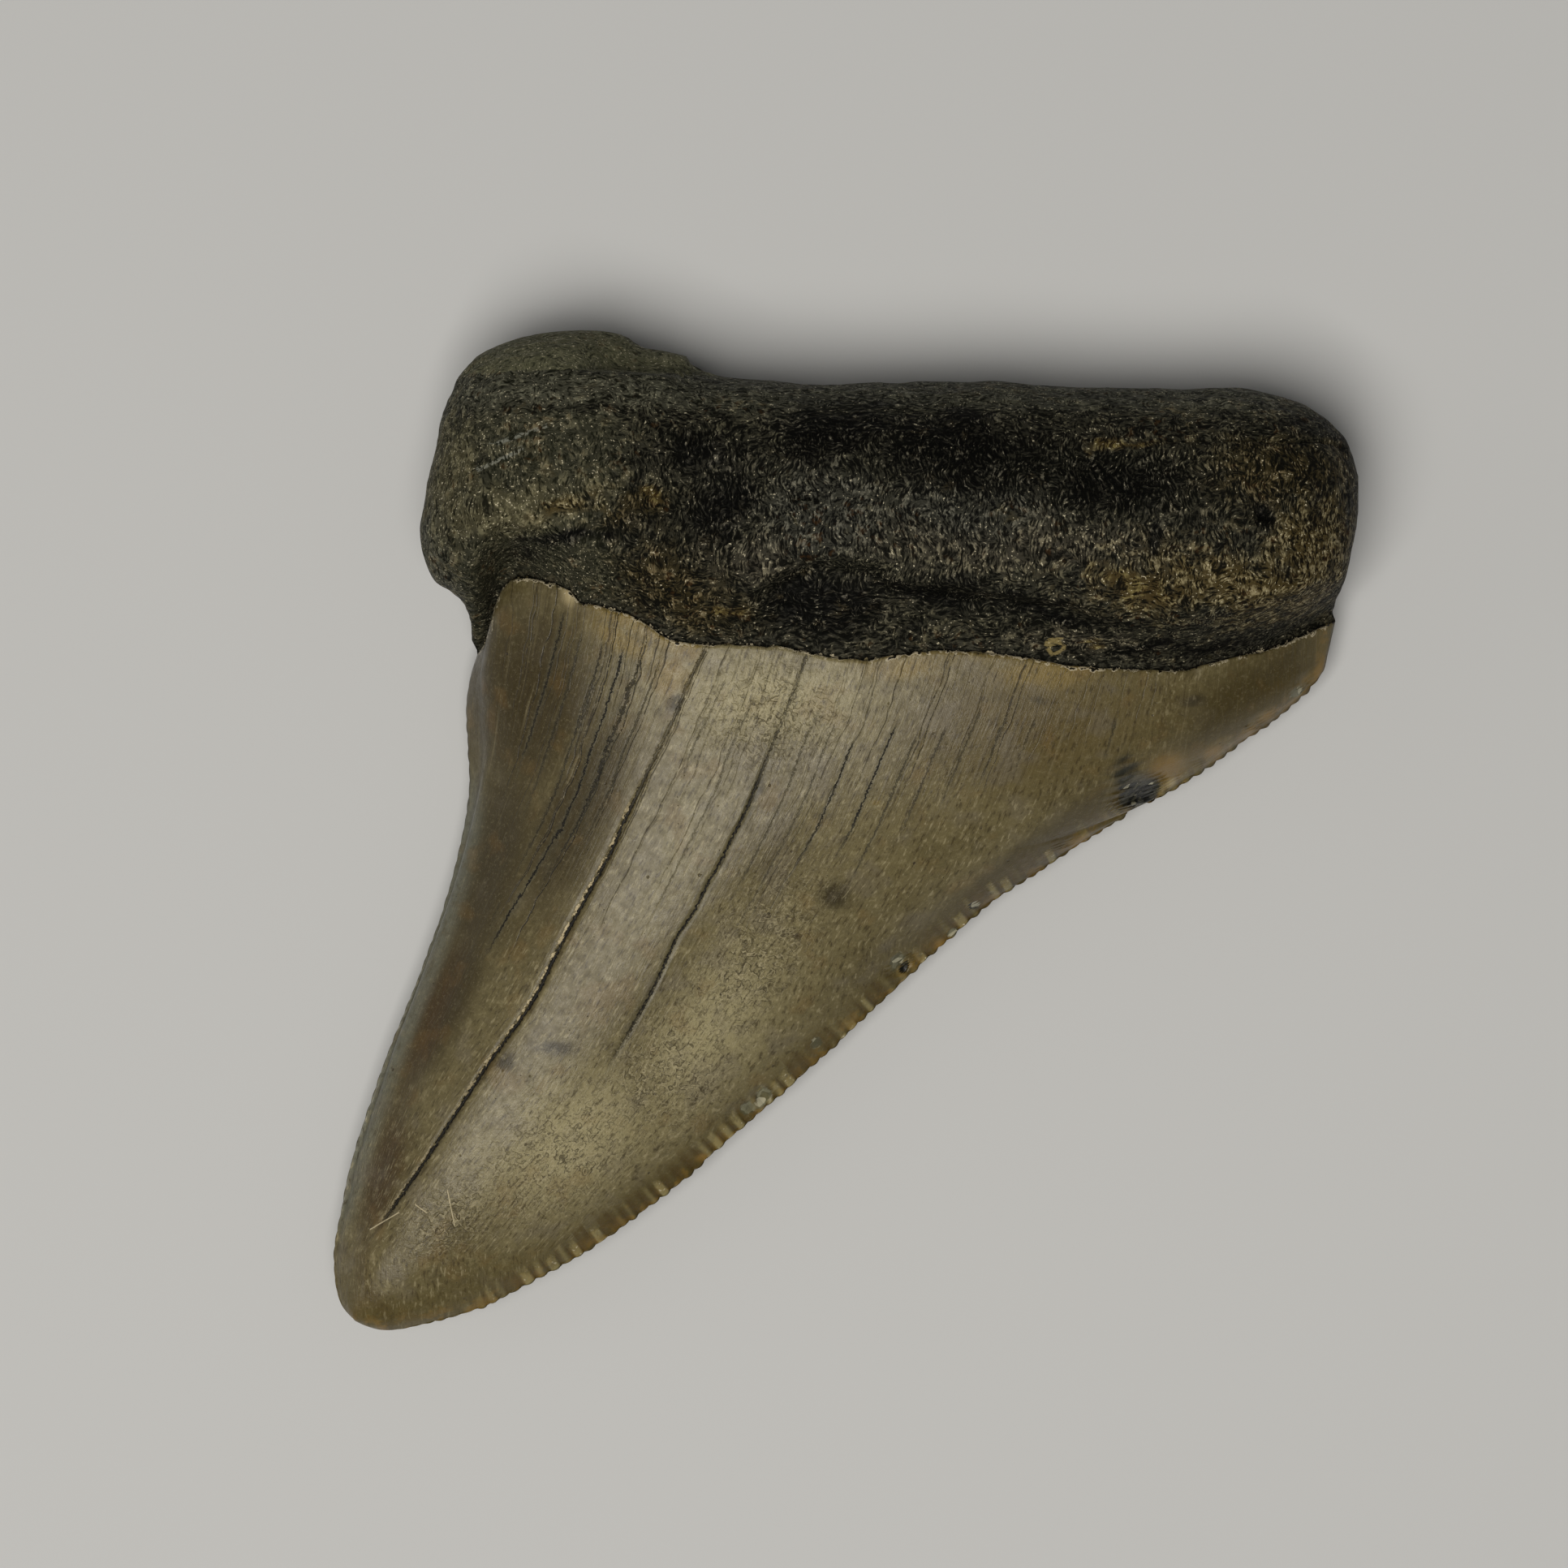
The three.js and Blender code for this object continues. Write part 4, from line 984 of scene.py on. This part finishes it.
# %% Fossil enamel: drifting tones, stains, painted highlight and shade
ENAMEL_NOISE = {
    "broad": (6.0, 4, 0.6), "wander": (2.5, 2, 0.6), "patchy": (1.1, 3, 0.6), "mottle": (0.6, 4, 0.65),
    "curl": (0.42, 1, 0.5), "grit": (0.4, 3, 0.65), "jag": (0.22, 3, 0.7), "orange_peel": (0.2, 3, 0.75),
    "glint": (0.2, 1, 0.5),
}
ENAMEL_PAINT = [  # mark, colour, strength, how far the patch is broken up
    # pale and light are painted highlight along the crest, pale partly the enamel's paler tone
    ("pale", "#7f7757", 0.65, 0.0), ("light", "#a39a76", 0.72, 0.0), ("tan", "#524522", 0.85, 0.0),
    # brown: brown stain on the left flank, partly painted shade there
    ("olive", "#3d3314", 0.95, 0.5), ("brown", "#352c12", 0.95, 0.5), ("amber", "#3f2c05", 0.95, 0.3),
    # flange: a painted reflection, pale grey-blue
    ("flange", "#686a5f", 0.85, 0.3), ("stain", "#7d6a36", 0.75, 0.9), ("smudge", "#2d2714", 0.95, 0.7),
]
EDGE_PAINT = [("golden", "#7f6530", 0.9, 0.4), ("cream", "#b5a67e", 0.85, 0.4), ("soot", "#181d1a", 0.9, 0.7)]
EDGE_MARKS = ("long_edge", "phase", "ribbed", "from_enamel", "face", "scratch", "scratched", "flange")
CRACK_MARKS = ("crack_a", "crack_a_open", "crack_b", "crack_b_open", "closed", "closed_open",
               "hair_low", "hair_dark")
enamel, tree, shader, place, pattern, mark = start_material(
    "fossil_enamel_semi_gloss", ENAMEL_NOISE, (*CROWN_PATCHES, *EDGE_MARKS, *CRACK_MARKS))
mottle, orange_peel = pattern["mottle"], pattern["orange_peel"]


def stained(tree, colour, paints, mark, pattern):
    """Each paint laid over a colour where its mark is high. A patch that is broken up is two fifths soft
    and three fifths hard, and a noise pattern frays the hard part's outline."""
    for name, paint, strength, broken in paints:
        share = share_of(tree, mark[name], strength)
        if broken:
            ragged = node(tree, "Math", [pattern, broken, mark[name]], operation="MULTIPLY_ADD")
            hard = share_of(tree, (ragged, 0.2 + broken / 2, 0.85 + broken / 2, 0.0, 0.6 * strength))
            share = node(tree, "Math", [share, 0.4, hard], operation="MULTIPLY_ADD")
        colour = coat(tree, colour, paint, share)
    return colour


colour = coat(tree, linear("#6a6142"), "#595032", (pattern["broad"], 0.35, 0.65))
colour = stained(tree, colour, ENAMEL_PAINT, mark, mottle)
even_tone = node(tree, "Math", [mark["brown"], mark["olive"]], operation="MAXIMUM")  # calm dark areas
plain_tone = node(tree, "Math", [even_tone, mark["tan"]], operation="MAXIMUM")
lively = share_of(tree, (plain_tone, 0.6, 0.1, 0.15, 1.0))  # low where the enamel is evenly dark
colour = coat(tree, colour, "#4a4229", (mottle, 0.5, 0.68, 0.0, 0.4))
colour = coat(tree, colour, "#9a906d", (mottle, 0.46, 0.3, 0.0, 0.32), lively)
greyed = (pattern["wander"], 0.52, 0.68, 0.0, 0.35)
colour = coat(tree, colour, "#6a6355", greyed, (even_tone, 0.6, 0.1, 0.3, 1.0))
colour = coat(tree, colour, "#70562a", (pattern["wander"], 0.44, 0.3, 0.0, 0.25))
print("enamel: a base,", len(ENAMEL_PAINT), "paints and 4 drifts of tone")

# %% Streaks and fine cracks along the grain
grain = node(tree, "UVMap", uv_map="grain")
grain_mm = node(tree, "VectorMath", [grain, (1 / CM, 1 / CM, 0.0)], operation="MULTIPLY")
grain_u, grain_v = (node(tree, "SeparateXYZ", [grain_mm], out=axis) for axis in "XY")
streak_place = node(tree, "VectorMath", [grain_mm, (3.4, 0.12, 1.0)], operation="MULTIPLY")
streak_grain = {"Vector": streak_place, "Scale": 1.0, "Detail": 4.0, "Roughness": 0.7}
streak = node(tree, "TexNoise", streak_grain, out="Fac")
near_root = (grain_v, -10.0, 8.0, 0.25, 1.0)
colour = coat(tree, colour, "#3b3119", (streak, 0.53, 0.7, 0.0, 0.6), near_root)
colour = coat(tree, colour, "#968b6b", (streak, 0.44, 0.3, 0.0, 0.25), near_root)
fleck_place = node(tree, "VectorMath", [grain_mm, (5.5, 1.6, 1.0)], operation="MULTIPLY")
fleck_grain = {"Vector": fleck_place, "Scale": 1.0, "Detail": 2.0, "Roughness": 0.6}
fleck = node(tree, "TexNoise", fleck_grain, out="Fac")
dark_fleck = (fleck, 0.54, 0.68, 0.0, 0.65)
colour = coat(tree, colour, "#352b15", dark_fleck, (even_tone, 0.5, 0.1, 0.4, 1.0), mark["face"])
colour = coat(tree, colour, "#a89e7d", (fleck, 0.42, 0.32, 0.0, 0.4), lively, mark["face"])

HAIR_END = 8.5  # the Y up to which a hair crack may end early
hair_parts = []
for spacing, width in ((0.62, 0.085), (0.37, 0.1)):  # mm, and the line's half width as a share of it
    line_u = node(tree, "Math", [pattern["wander"], 0.3 + spacing, grain_u], operation="MULTIPLY_ADD")
    hair = {"W": share_of(tree, line_u, 1 / spacing), "Scale": 1.0, "Randomness": 0.85}
    hair_away = node(tree, "TexVoronoi", hair, out="Distance", voronoi_dimensions="1D")
    dice = node(tree, "TexVoronoi", hair, out="Color", voronoi_dimensions="1D")
    dice_end, dice_dark = (node(tree, "SeparateColor", [dice], out=part) for part in ("Red", "Green"))
    hair_end = node(tree, "Mix", [dice_end, mark["hair_low"], HAIR_END], data_type="FLOAT")
    past_end = node(tree, "Math", [grain_v, hair_end], operation="SUBTRACT")
    line = (hair_away, width, 0.2 * width)
    hair_parts.append(share_of(tree, line, (past_end, -0.5, 2.5), (dice_dark, 0.3, 1.0)))
hair_share = share_of(tree, node(tree, "Math", hair_parts, operation="MAXIMUM"),
                      (pattern["grit"], 0.36, 0.5, 0.3, 1.0), mark["face"], mark["hair_dark"])
colour = coat(tree, colour, "#1a140a", hair_share)
print("streaks, flecks and two sets of hair cracks:", len(tree.nodes), "nodes so far")

# %% The named cracks: a dark core, a grey halo and a chipped lip
jitter = node(tree, "MapRange", [pattern["jag"], 0.3, 0.7, -0.08, 0.08])
CRACK_WIDTHS = [("crack_a", 0.1, 0.3), ("crack_b", 0.075, 0.45), ("closed", 0.055, 0.25)]  # core, halo
cores, halos = [], []
for name, core_width, halo_width in CRACK_WIDTHS:
    away = node(tree, "Math", [node(tree, "Math", [mark[name], jitter], **PLUS)], operation="ABSOLUTE")
    cores.append(share_of(tree, (away, core_width, 0.5 * core_width), mark[name + "_open"]))
    halos.append(share_of(tree, (away, halo_width, core_width), mark[name + "_open"]))
core = node(tree, "Math", [node(tree, "Math", cores[:2], operation="MAXIMUM"), cores[2]], operation="MAXIMUM")
colour = coat(tree, colour, "#4a493c", node(tree, "Math", halos[1:], operation="MAXIMUM"), 0.4)
colour = coat(tree, colour, "#3c3522", halos[0], (grain_v, 4.0, -2.0), 0.4)
lip_place = node(tree, "Math", [mark["crack_a"], jitter], **PLUS)
lip_share = share_of(tree, (lip_place, -0.26, -0.19), (lip_place, -0.06, -0.11), mark["crack_a_open"],
                     (pattern["grit"], 0.46, 0.53), (grain_v, 2.5, 0.5), (grain_v, -16.0, -9.0, 0.35, 1.0))
colour = coat(tree, colour, "#c2b38f", lip_share, 0.9)
colour = coat(tree, colour, "#080603", core)
print("half widths of the cracks' cores and halos, in mm:", CRACK_WIDTHS)

# %% Pits, curls of etched enamel, glints and scratches
pits = []
for spacing, radius in ((1.3, 0.07), (0.45, 0.07)):  # mm, and the pit's radius as a share of it
    cell = {"Vector": place, "Scale": 1 / (spacing * MM), "Randomness": 1.0}
    away = node(tree, "TexVoronoi", cell, out="Distance")
    dice = node(tree, "SeparateColor", [node(tree, "TexVoronoi", cell, out="Color")], out="Red")
    pits.append(share_of(tree, (away, 1.2 * radius, 0.5 * radius), (dice, 0.45, 0.8)))
pit_share = node(tree, "Math", pits, operation="MAXIMUM")
colour = coat(tree, colour, "#2a2010", pit_share, 0.8)
etched = (mark["pitted"], 0.0, 1.0, 0.25, 1.0)
colour = coat(tree, colour, "#2f2713", (orange_peel, 0.52, 0.64), etched, 0.55)
# painted glints: pale specks on the etched enamel
colour = coat(tree, colour, "#aba181", (orange_peel, 0.45, 0.33), etched, 0.5)
curls = []
for level in (0.46, 0.53):  # a pale rim beside each dark crease
    off_level = node(tree, "Math", [pattern["curl"], level], operation="SUBTRACT")
    off_level = node(tree, "Math", [off_level], operation="ABSOLUTE")
    curls.append(share_of(tree, (off_level, 0.045, 0.01), mark["pitted"], (mottle, 0.42, 0.55)))
# painted glints: the pale rims of the curls
colour = coat(tree, colour, "#b3a987", curls[0], 0.45)
colour = coat(tree, colour, "#352c16", curls[1], 0.6)
nick = nicked(tree, mark, 0.05, 0.015, (0.5, 0.7))
colour = coat(tree, colour, "#c2b696", nick, 0.8)
print("pits, etched curls and scratches:", len(tree.nodes), "nodes so far")

# %% Thin cutting edge, its worn teeth, chips and the broken border
edge_wander = node(tree, "Math", [mottle, 1.4, mark["long_edge"]], operation="MULTIPLY_ADD")
colour = coat(tree, colour, "#51461f", (edge_wander, 3.2, 1.0), 0.55)
colour = coat(tree, colour, "#7d6228", (edge_wander, 1.7, 0.9), (pattern["patchy"], 0.46, 0.58), 0.55)
wave = node(tree, "Math", [node(tree, "Math", [mark["phase"], np.pi], **TIMES)], operation="SINE")
own_height = node(tree, "TexWhiteNoise", [node(tree, "Math", [mark["phase"]], operation="FLOOR")],
                  noise_dimensions="1D")
tooth_top = node(tree, "Math", [wave], operation="ABSOLUTE")
tooth_top = share_of(tree, tooth_top, (own_height, 0.0, 1.0, 0.35, 1.2))
rib_wander = node(tree, "Math", [own_height, 0.8, edge_wander], operation="MULTIPLY_ADD")
rib_zone = share_of(tree, (rib_wander, 2.5, 1.6), (pattern["wander"], 0.36, 0.5, 0.3, 1.0), mark["ribbed"])
# painted shade in the gaps between the worn teeth, and a painted highlight on their tops
colour = coat(tree, colour, "#463610", rib_zone, (tooth_top, 0.6, 0.2), 0.65)
colour = coat(tree, colour, "#9a8f63", rib_zone, (tooth_top, 0.45, 0.9), 0.6)
colour = stained(tree, colour, EDGE_PAINT, mark, mottle)
glassy, chipped = (node(tree, "Math", [mottle, 0.6, mark[key]], operation="MULTIPLY_ADD")
                   for key in ("glassy", "chipped"))
glassy, chipped = share_of(tree, (glassy, 0.55, 0.85)), share_of(tree, (chipped, 0.55, 0.8))
FACET = 0.42  # mm across a facet of broken enamel
facet_size = {"Vector": place, "Scale": 1 / (FACET * MM), "Randomness": 1.0}
facet = node(tree, "SeparateColor", [node(tree, "TexVoronoi", facet_size, out="Color")], out="Red")
glass = coat(tree, linear("#4a4b38"), "#7d7e69", (facet, 0.1, 0.8))
# painted glints: the brightest facets of the glassy chips
glass = coat(tree, glass, "#b9b79f", (facet, 0.8, 0.9))
colour = coat(tree, colour, glass, glassy, 0.7)
flint = coat(tree, linear("#0d0d09"), "#3a392d", (facet, 0.4, 0.9))
# painted glints: a few bright facets in the dark chipped scar
flint = coat(tree, flint, "#a3a08b", (facet, 0.9, 0.95))
colour = coat(tree, colour, flint, chipped)
# painted glints: white sparkles on the tops of the teeth
colour = coat(tree, colour, "#e4dcc4", (pattern["glint"], 0.64, 0.7), rib_zone, (tooth_top, 0.6, 1.0), 0.5)
past_border, rim = jagged_border(tree, pattern, mark)
colour = coat(tree, colour, "#15120b", (past_border, -0.01, 0.03))
# painted highlight: the thin pale line along the enamel's border
colour = coat(tree, colour, "#b7ad93", rim, 0.85)
print("edge, chips and border:", len(tree.nodes), "nodes so far")

# %% Gloss and relief of the enamel
tree.links.new(colour, shader.inputs["Base Color"])
rough_core = share_of(tree, core, 0.3)
tree.links.new(node(tree, "Math", [share_of(tree, (mottle, 0.3, 0.7, 0.33, 0.45)), rough_core], **PLUS),
               shader.inputs["Roughness"])
shader.inputs["IOR"].default_value = 1.6
shader.inputs["Specular IOR Level"].default_value = 0.26
height = share_of(tree, mottle, 0.02)
for rise, high in (  # in mm, and hollows are below zero
        (orange_peel, 0.02), (streak, 0.03), (hair_share, -0.03), (core, -0.07), (pit_share, -0.03),
        (nick, 0.02), (share_of(tree, chipped, facet), -0.12), (share_of(tree, glassy, facet), -0.06),
        (curls[1], -0.03), (lip_share, 0.03), (share_of(tree, orange_peel, mark["pitted"]), 0.04),
        (share_of(tree, rib_zone, tooth_top), 0.1)):
    height = node(tree, "Math", [rise, high, height], operation="MULTIPLY_ADD")
bump = node(tree, "Bump", {"Strength": 1.0, "Distance": MM, "Height": height})
tree.links.new(bump, shader.inputs["Normal"])
print("enamel nodes:", len(tree.nodes))

# %% [markdown]
# Root bone: once full of pores, now mineral. Its dark body is covered in short pale fibres. They lie
# level on the top and stand upright in the middle, with tufts of the other kind among them, so the
# pattern is noise drawn out along two directions. Each fibre is cut out of the dark, most are dim and a
# few catch the light. An area, such as a black or a beige one, only changes how many fibres show and in
# which colours. The bone is dull, rough to the eye and far deeper in relief than the enamel.

# %% Fossil root bone: its fibres
FIBRE = 0.2  # mm between fibres
BONE_NOISE = {
    "lump": (2.6, 4, 0.6), "patchy": (1.1, 3, 0.6), "vary": (0.5, 2, 0.6), "grit": (0.4, 3, 0.65),
    "crumb": (0.12, 1, 0.5), "way": (1.0, 2, 0.6),
}
ROOT_PAINT = [  # mark, colours of the gaps, the dim fibres and the bright ones, how few fibres show
    ("plain", "#191a10", "#313126", "#535140", 0.46), ("top", "#16170e", "#414136", "#636354", 0.47),
    ("mossy", "#1e1d11", "#454230", "#6c6850", 0.44), ("umber", "#0c0b06", "#2f2917", "#6a5f45", 0.5),
    ("dusty", "#100f0a", "#36332a", "#76705c", 0.48), ("beige", "#110e06", "#43391f", "#8c8262", 0.48),
    ("grey", "#0b0b09", "#32322b", "#66655a", 0.5), ("ledge", "#333427", "#555541", "#6c6b54", 0.45),
    # black: stained bone, and painted shade in hollows, under the lip and under the root's overhang
    ("black", "#020201", "#201f19", "#636055", 0.56), ("ochre", "#130f06", "#40351c", "#756a41", 0.48),
]
bone, tree, shader, place, pattern, mark = start_material(
    "fossil_root_bone_dull", BONE_NOISE,
    ("plain", "top", "ledge", "upright", "from_enamel", "face", "ring", "scratch", "scratched",
     *ROOT_PATCHES))
SWIRL, SWIRL_SIZE = 1.6, 2.0  # mm by which the fibres bend, and from one bend to the next
warp = node(tree, "TexNoise", {"Vector": place, "Scale": 1 / (SWIRL_SIZE * MM), "Detail": 3.0}, out="Color")
warp = node(tree, "VectorMath", [warp, (0.5, 0.5, 0.5)], operation="SUBTRACT")
bent = node(tree, "VectorMath", [warp, [SWIRL * MM] * 3, place], operation="MULTIPLY_ADD")
combed = []
for stretch in ((2.2, 0.65, 1.0), (0.65, 2.0, 1.0)):  # lying, as on the top, and upright, as in the middle
    laid = node(tree, "VectorMath", [bent, [1 / s for s in stretch]], operation="MULTIPLY")
    settings = {"Vector": laid, "Scale": 1 / (FIBRE * MM), "Detail": 2.0, "Roughness": 0.6}
    combed.append(node(tree, "TexNoise", settings, out="Fac"))
way = node(tree, "Math", [mark["upright"], 0.16, pattern["way"]], operation="MULTIPLY_ADD")
fibre = node(tree, "Mix", [share_of(tree, (way, 0.5, 0.62)), *combed], data_type="FLOAT")
CLUMP = 0.9  # mm from one tuft to the next
settings = {"Vector": bent, "Scale": 1 / (CLUMP * MM), "Detail": 3.0, "Roughness": 0.65}
clump = node(tree, "TexNoise", settings, out="Fac")
print("a fibre is about %.2f mm thick" % (FIBRE * 0.65))

# %% Fossil root bone: its areas
gap, dim, bright, cover = linear("#0a0a06"), linear("#2d2c23"), linear("#575443"), 0.5
loose = node(tree, "MapRange", [clump, 0.3, 0.7, -0.3, 0.3])
loose = node(tree, "Math", [node(tree, "MapRange", [pattern["lump"], 0.3, 0.7, -0.2, 0.2]), loose], **PLUS)
for name, gap_paint, dim_paint, bright_paint, few in ROOT_PAINT:
    share = share_of(tree, (node(tree, "Math", [mark[name], loose], **PLUS), 0.1, 0.95))
    changes = ((gap, gap_paint), (dim, dim_paint), (bright, bright_paint))
    gap, dim, bright = (coat(tree, old, new, share) for old, new in changes)
    cover = node(tree, "Mix", [share, cover, few], data_type="FLOAT")
shown = node(tree, "Math", [fibre, 0.72, share_of(tree, clump, 0.28)], operation="MULTIPLY_ADD")
over = node(tree, "Math", [shown, cover], operation="SUBTRACT")
colour = coat(tree, gap, dim, (over, -0.07, 0.03))
colour = coat(tree, colour, bright, (over, 0.0, 0.09), (pattern["vary"], 0.42, 0.6))
rusty = share_of(tree, (pattern["vary"], 0.56, 0.68), (pattern["lump"], 0.45, 0.6))
colour = coat(tree, colour, "#4a3114", rusty, (mark["black"], 0.3, 0.05), 0.35)
strip_place = node(tree, "Math", [pattern["lump"], 0.8, mark["from_enamel"]], operation="MULTIPLY_ADD")
strip_paint = coat(tree, linear("#0d0d08"), "#3c3b32", (combed[0], 0.42, 0.62))
colour = coat(tree, colour, strip_paint, (strip_place, 1.3, 0.7), mark["face"], 0.6)
ring = share_of(tree, (mark["ring"], 0.34, 0.42), (mark["ring"], 0.64, 0.54), (pattern["grit"], 0.4, 0.5))
colour = coat(tree, colour, "#8a7c52", ring, 0.85)
# painted glints: tiny white sparkles on the fibres
colour = coat(tree, colour, "#d8cfb2", (pattern["crumb"], 0.64, 0.7), (over, 0.03, 0.08), 0.7)
colour = coat(tree, colour, "#85877d", nicked(tree, mark, 0.16, 0.04, (0.3, 0.7)), (fibre, 0.42, 0.52), 0.6)
past_border, rim = jagged_border(tree, pattern, mark)
# painted shadow: a dark line on the bone just above the enamel's border, under the root's overhang
colour = coat(tree, colour, "#080705", (past_border, 0.2, 0.05), 0.85)
colour = coat(tree, colour, "#6a6146", (past_border, 0.01, -0.02), mark["face"])
# painted highlight: the thin pale line along the enamel's border
colour = coat(tree, colour, "#b7ad93", rim, 0.85)
print("areas of the bone:", ", ".join(paint[0] for paint in ROOT_PAINT))

# %% Dullness and relief of the bone
tree.links.new(colour, shader.inputs["Base Color"])
tree.links.new(share_of(tree, (fibre, 0.3, 0.7, 0.85, 0.5)), shader.inputs["Roughness"])
shader.inputs["IOR"].default_value = 1.5
shader.inputs["Specular IOR Level"].default_value = 0.08
height = share_of(tree, fibre, 0.1)
for lump, high in ((pattern["crumb"], 0.02), (clump, 0.14)):
    height = node(tree, "Math", [lump, high, height], operation="MULTIPLY_ADD")
bump = node(tree, "Bump", {"Strength": 1.0, "Distance": MM, "Height": height})
tree.links.new(bump, shader.inputs["Normal"])
print("bone nodes:", len(tree.nodes))

# %% [markdown]
# The tooth is one piece with two finishes. A face is enamel if it lies between rows of the crown, and
# bone otherwise. The piece rides on the part's one body and stands for the CAD's tooth.

# %% Finish the piece
mesh.materials.append(enamel)
mesh.materials.append(bone)
bony = np.concatenate([on_crown[quads].min(axis=1), on_crown[triangles].min(axis=1)]) < 0.5
mesh.polygons.foreach_set("material_index", bony.astype(np.int32))
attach(tooth, "root")
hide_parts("tooth")
print("enamel faces", int((~bony).sum()), "bone faces", int(bony.sum()))

# %% [markdown]
# The setting is a plain pale table under soft light, with the camera straight above, as in the photo.
# A large soft box hangs over the tooth, a second one comes from the upper left for the thin flange, and
# a pale sky fills the shadows.

# %% Table, light and camera
table_mesh = bpy.data.meshes.new("table")
HALF = 1.5  # metres from the middle to the table's edge
table_corners = [(-HALF, -HALF, 0), (HALF, -HALF, 0), (HALF, HALF, 0), (-HALF, HALF, 0)]
table_mesh.from_pydata(table_corners, [], [(0, 1, 2, 3)])
table = bpy.data.objects.new("table", table_mesh)
bpy.context.collection.objects.link(table)
table_finish, _, shader, *_ = start_material("table_matt_pale_paint", {}, ())
shader.inputs["Base Color"].default_value = linear("#c6c8ca")
shader.inputs["Roughness"].default_value = 0.8
table_mesh.materials.append(table_finish)
WARM_WHITE = (1.0, 0.955, 0.88)


def soft_box(name, place, size, power):
    """A square light of this size in metres, turned so that it faces the tooth."""
    lamp = bpy.data.lights.new(name, "AREA")
    lamp.shape, lamp.size, lamp.energy, lamp.color = "SQUARE", size, power, WARM_WHITE
    holder = bpy.data.objects.new(name, lamp)
    holder.location = place
    aim = np.array([0.0, 0.0, 0.005]) - place
    flat = np.hypot(aim[0], aim[1])
    holder.rotation_euler = (np.arctan2(flat, -aim[2]), 0, np.arctan2(-aim[0], aim[1]))
    bpy.context.collection.objects.link(holder)


soft_box("box_overhead", np.array([-0.09, -0.15, 0.60]), 0.34, 3.3)
soft_box("box_left", np.array([-0.60, 0.05, 0.26]), 0.3, 0.18)
world = bpy.data.worlds.new("pale_room")
world.use_nodes = True
world.node_tree.nodes["Background"].inputs["Color"].default_value = linear("#eae8e3")
world.node_tree.nodes["Background"].inputs["Strength"].default_value = 0.12
bpy.context.scene.world = world
bpy.context.scene.view_settings.view_transform = "Standard"

camera_data = bpy.data.cameras.new("above")
LENS, SENSOR = 150, 36  # mm
FRAME_WIDTH, TOOTH_LEVEL = 86.25, 4.0  # mm that the photo spans, and the height at which it spans them
camera_data.lens, camera_data.sensor_width, camera_data.clip_end = LENS, SENSOR, 10
camera = bpy.data.objects.new("above", camera_data)
camera.location = (-3.326 * MM, 2.665 * MM, (FRAME_WIDTH * LENS / SENSOR + TOOTH_LEVEL) * MM)
bpy.context.collection.objects.link(camera)
bpy.context.scene.camera = camera
print("camera %.3f m above the table" % camera.location.z)
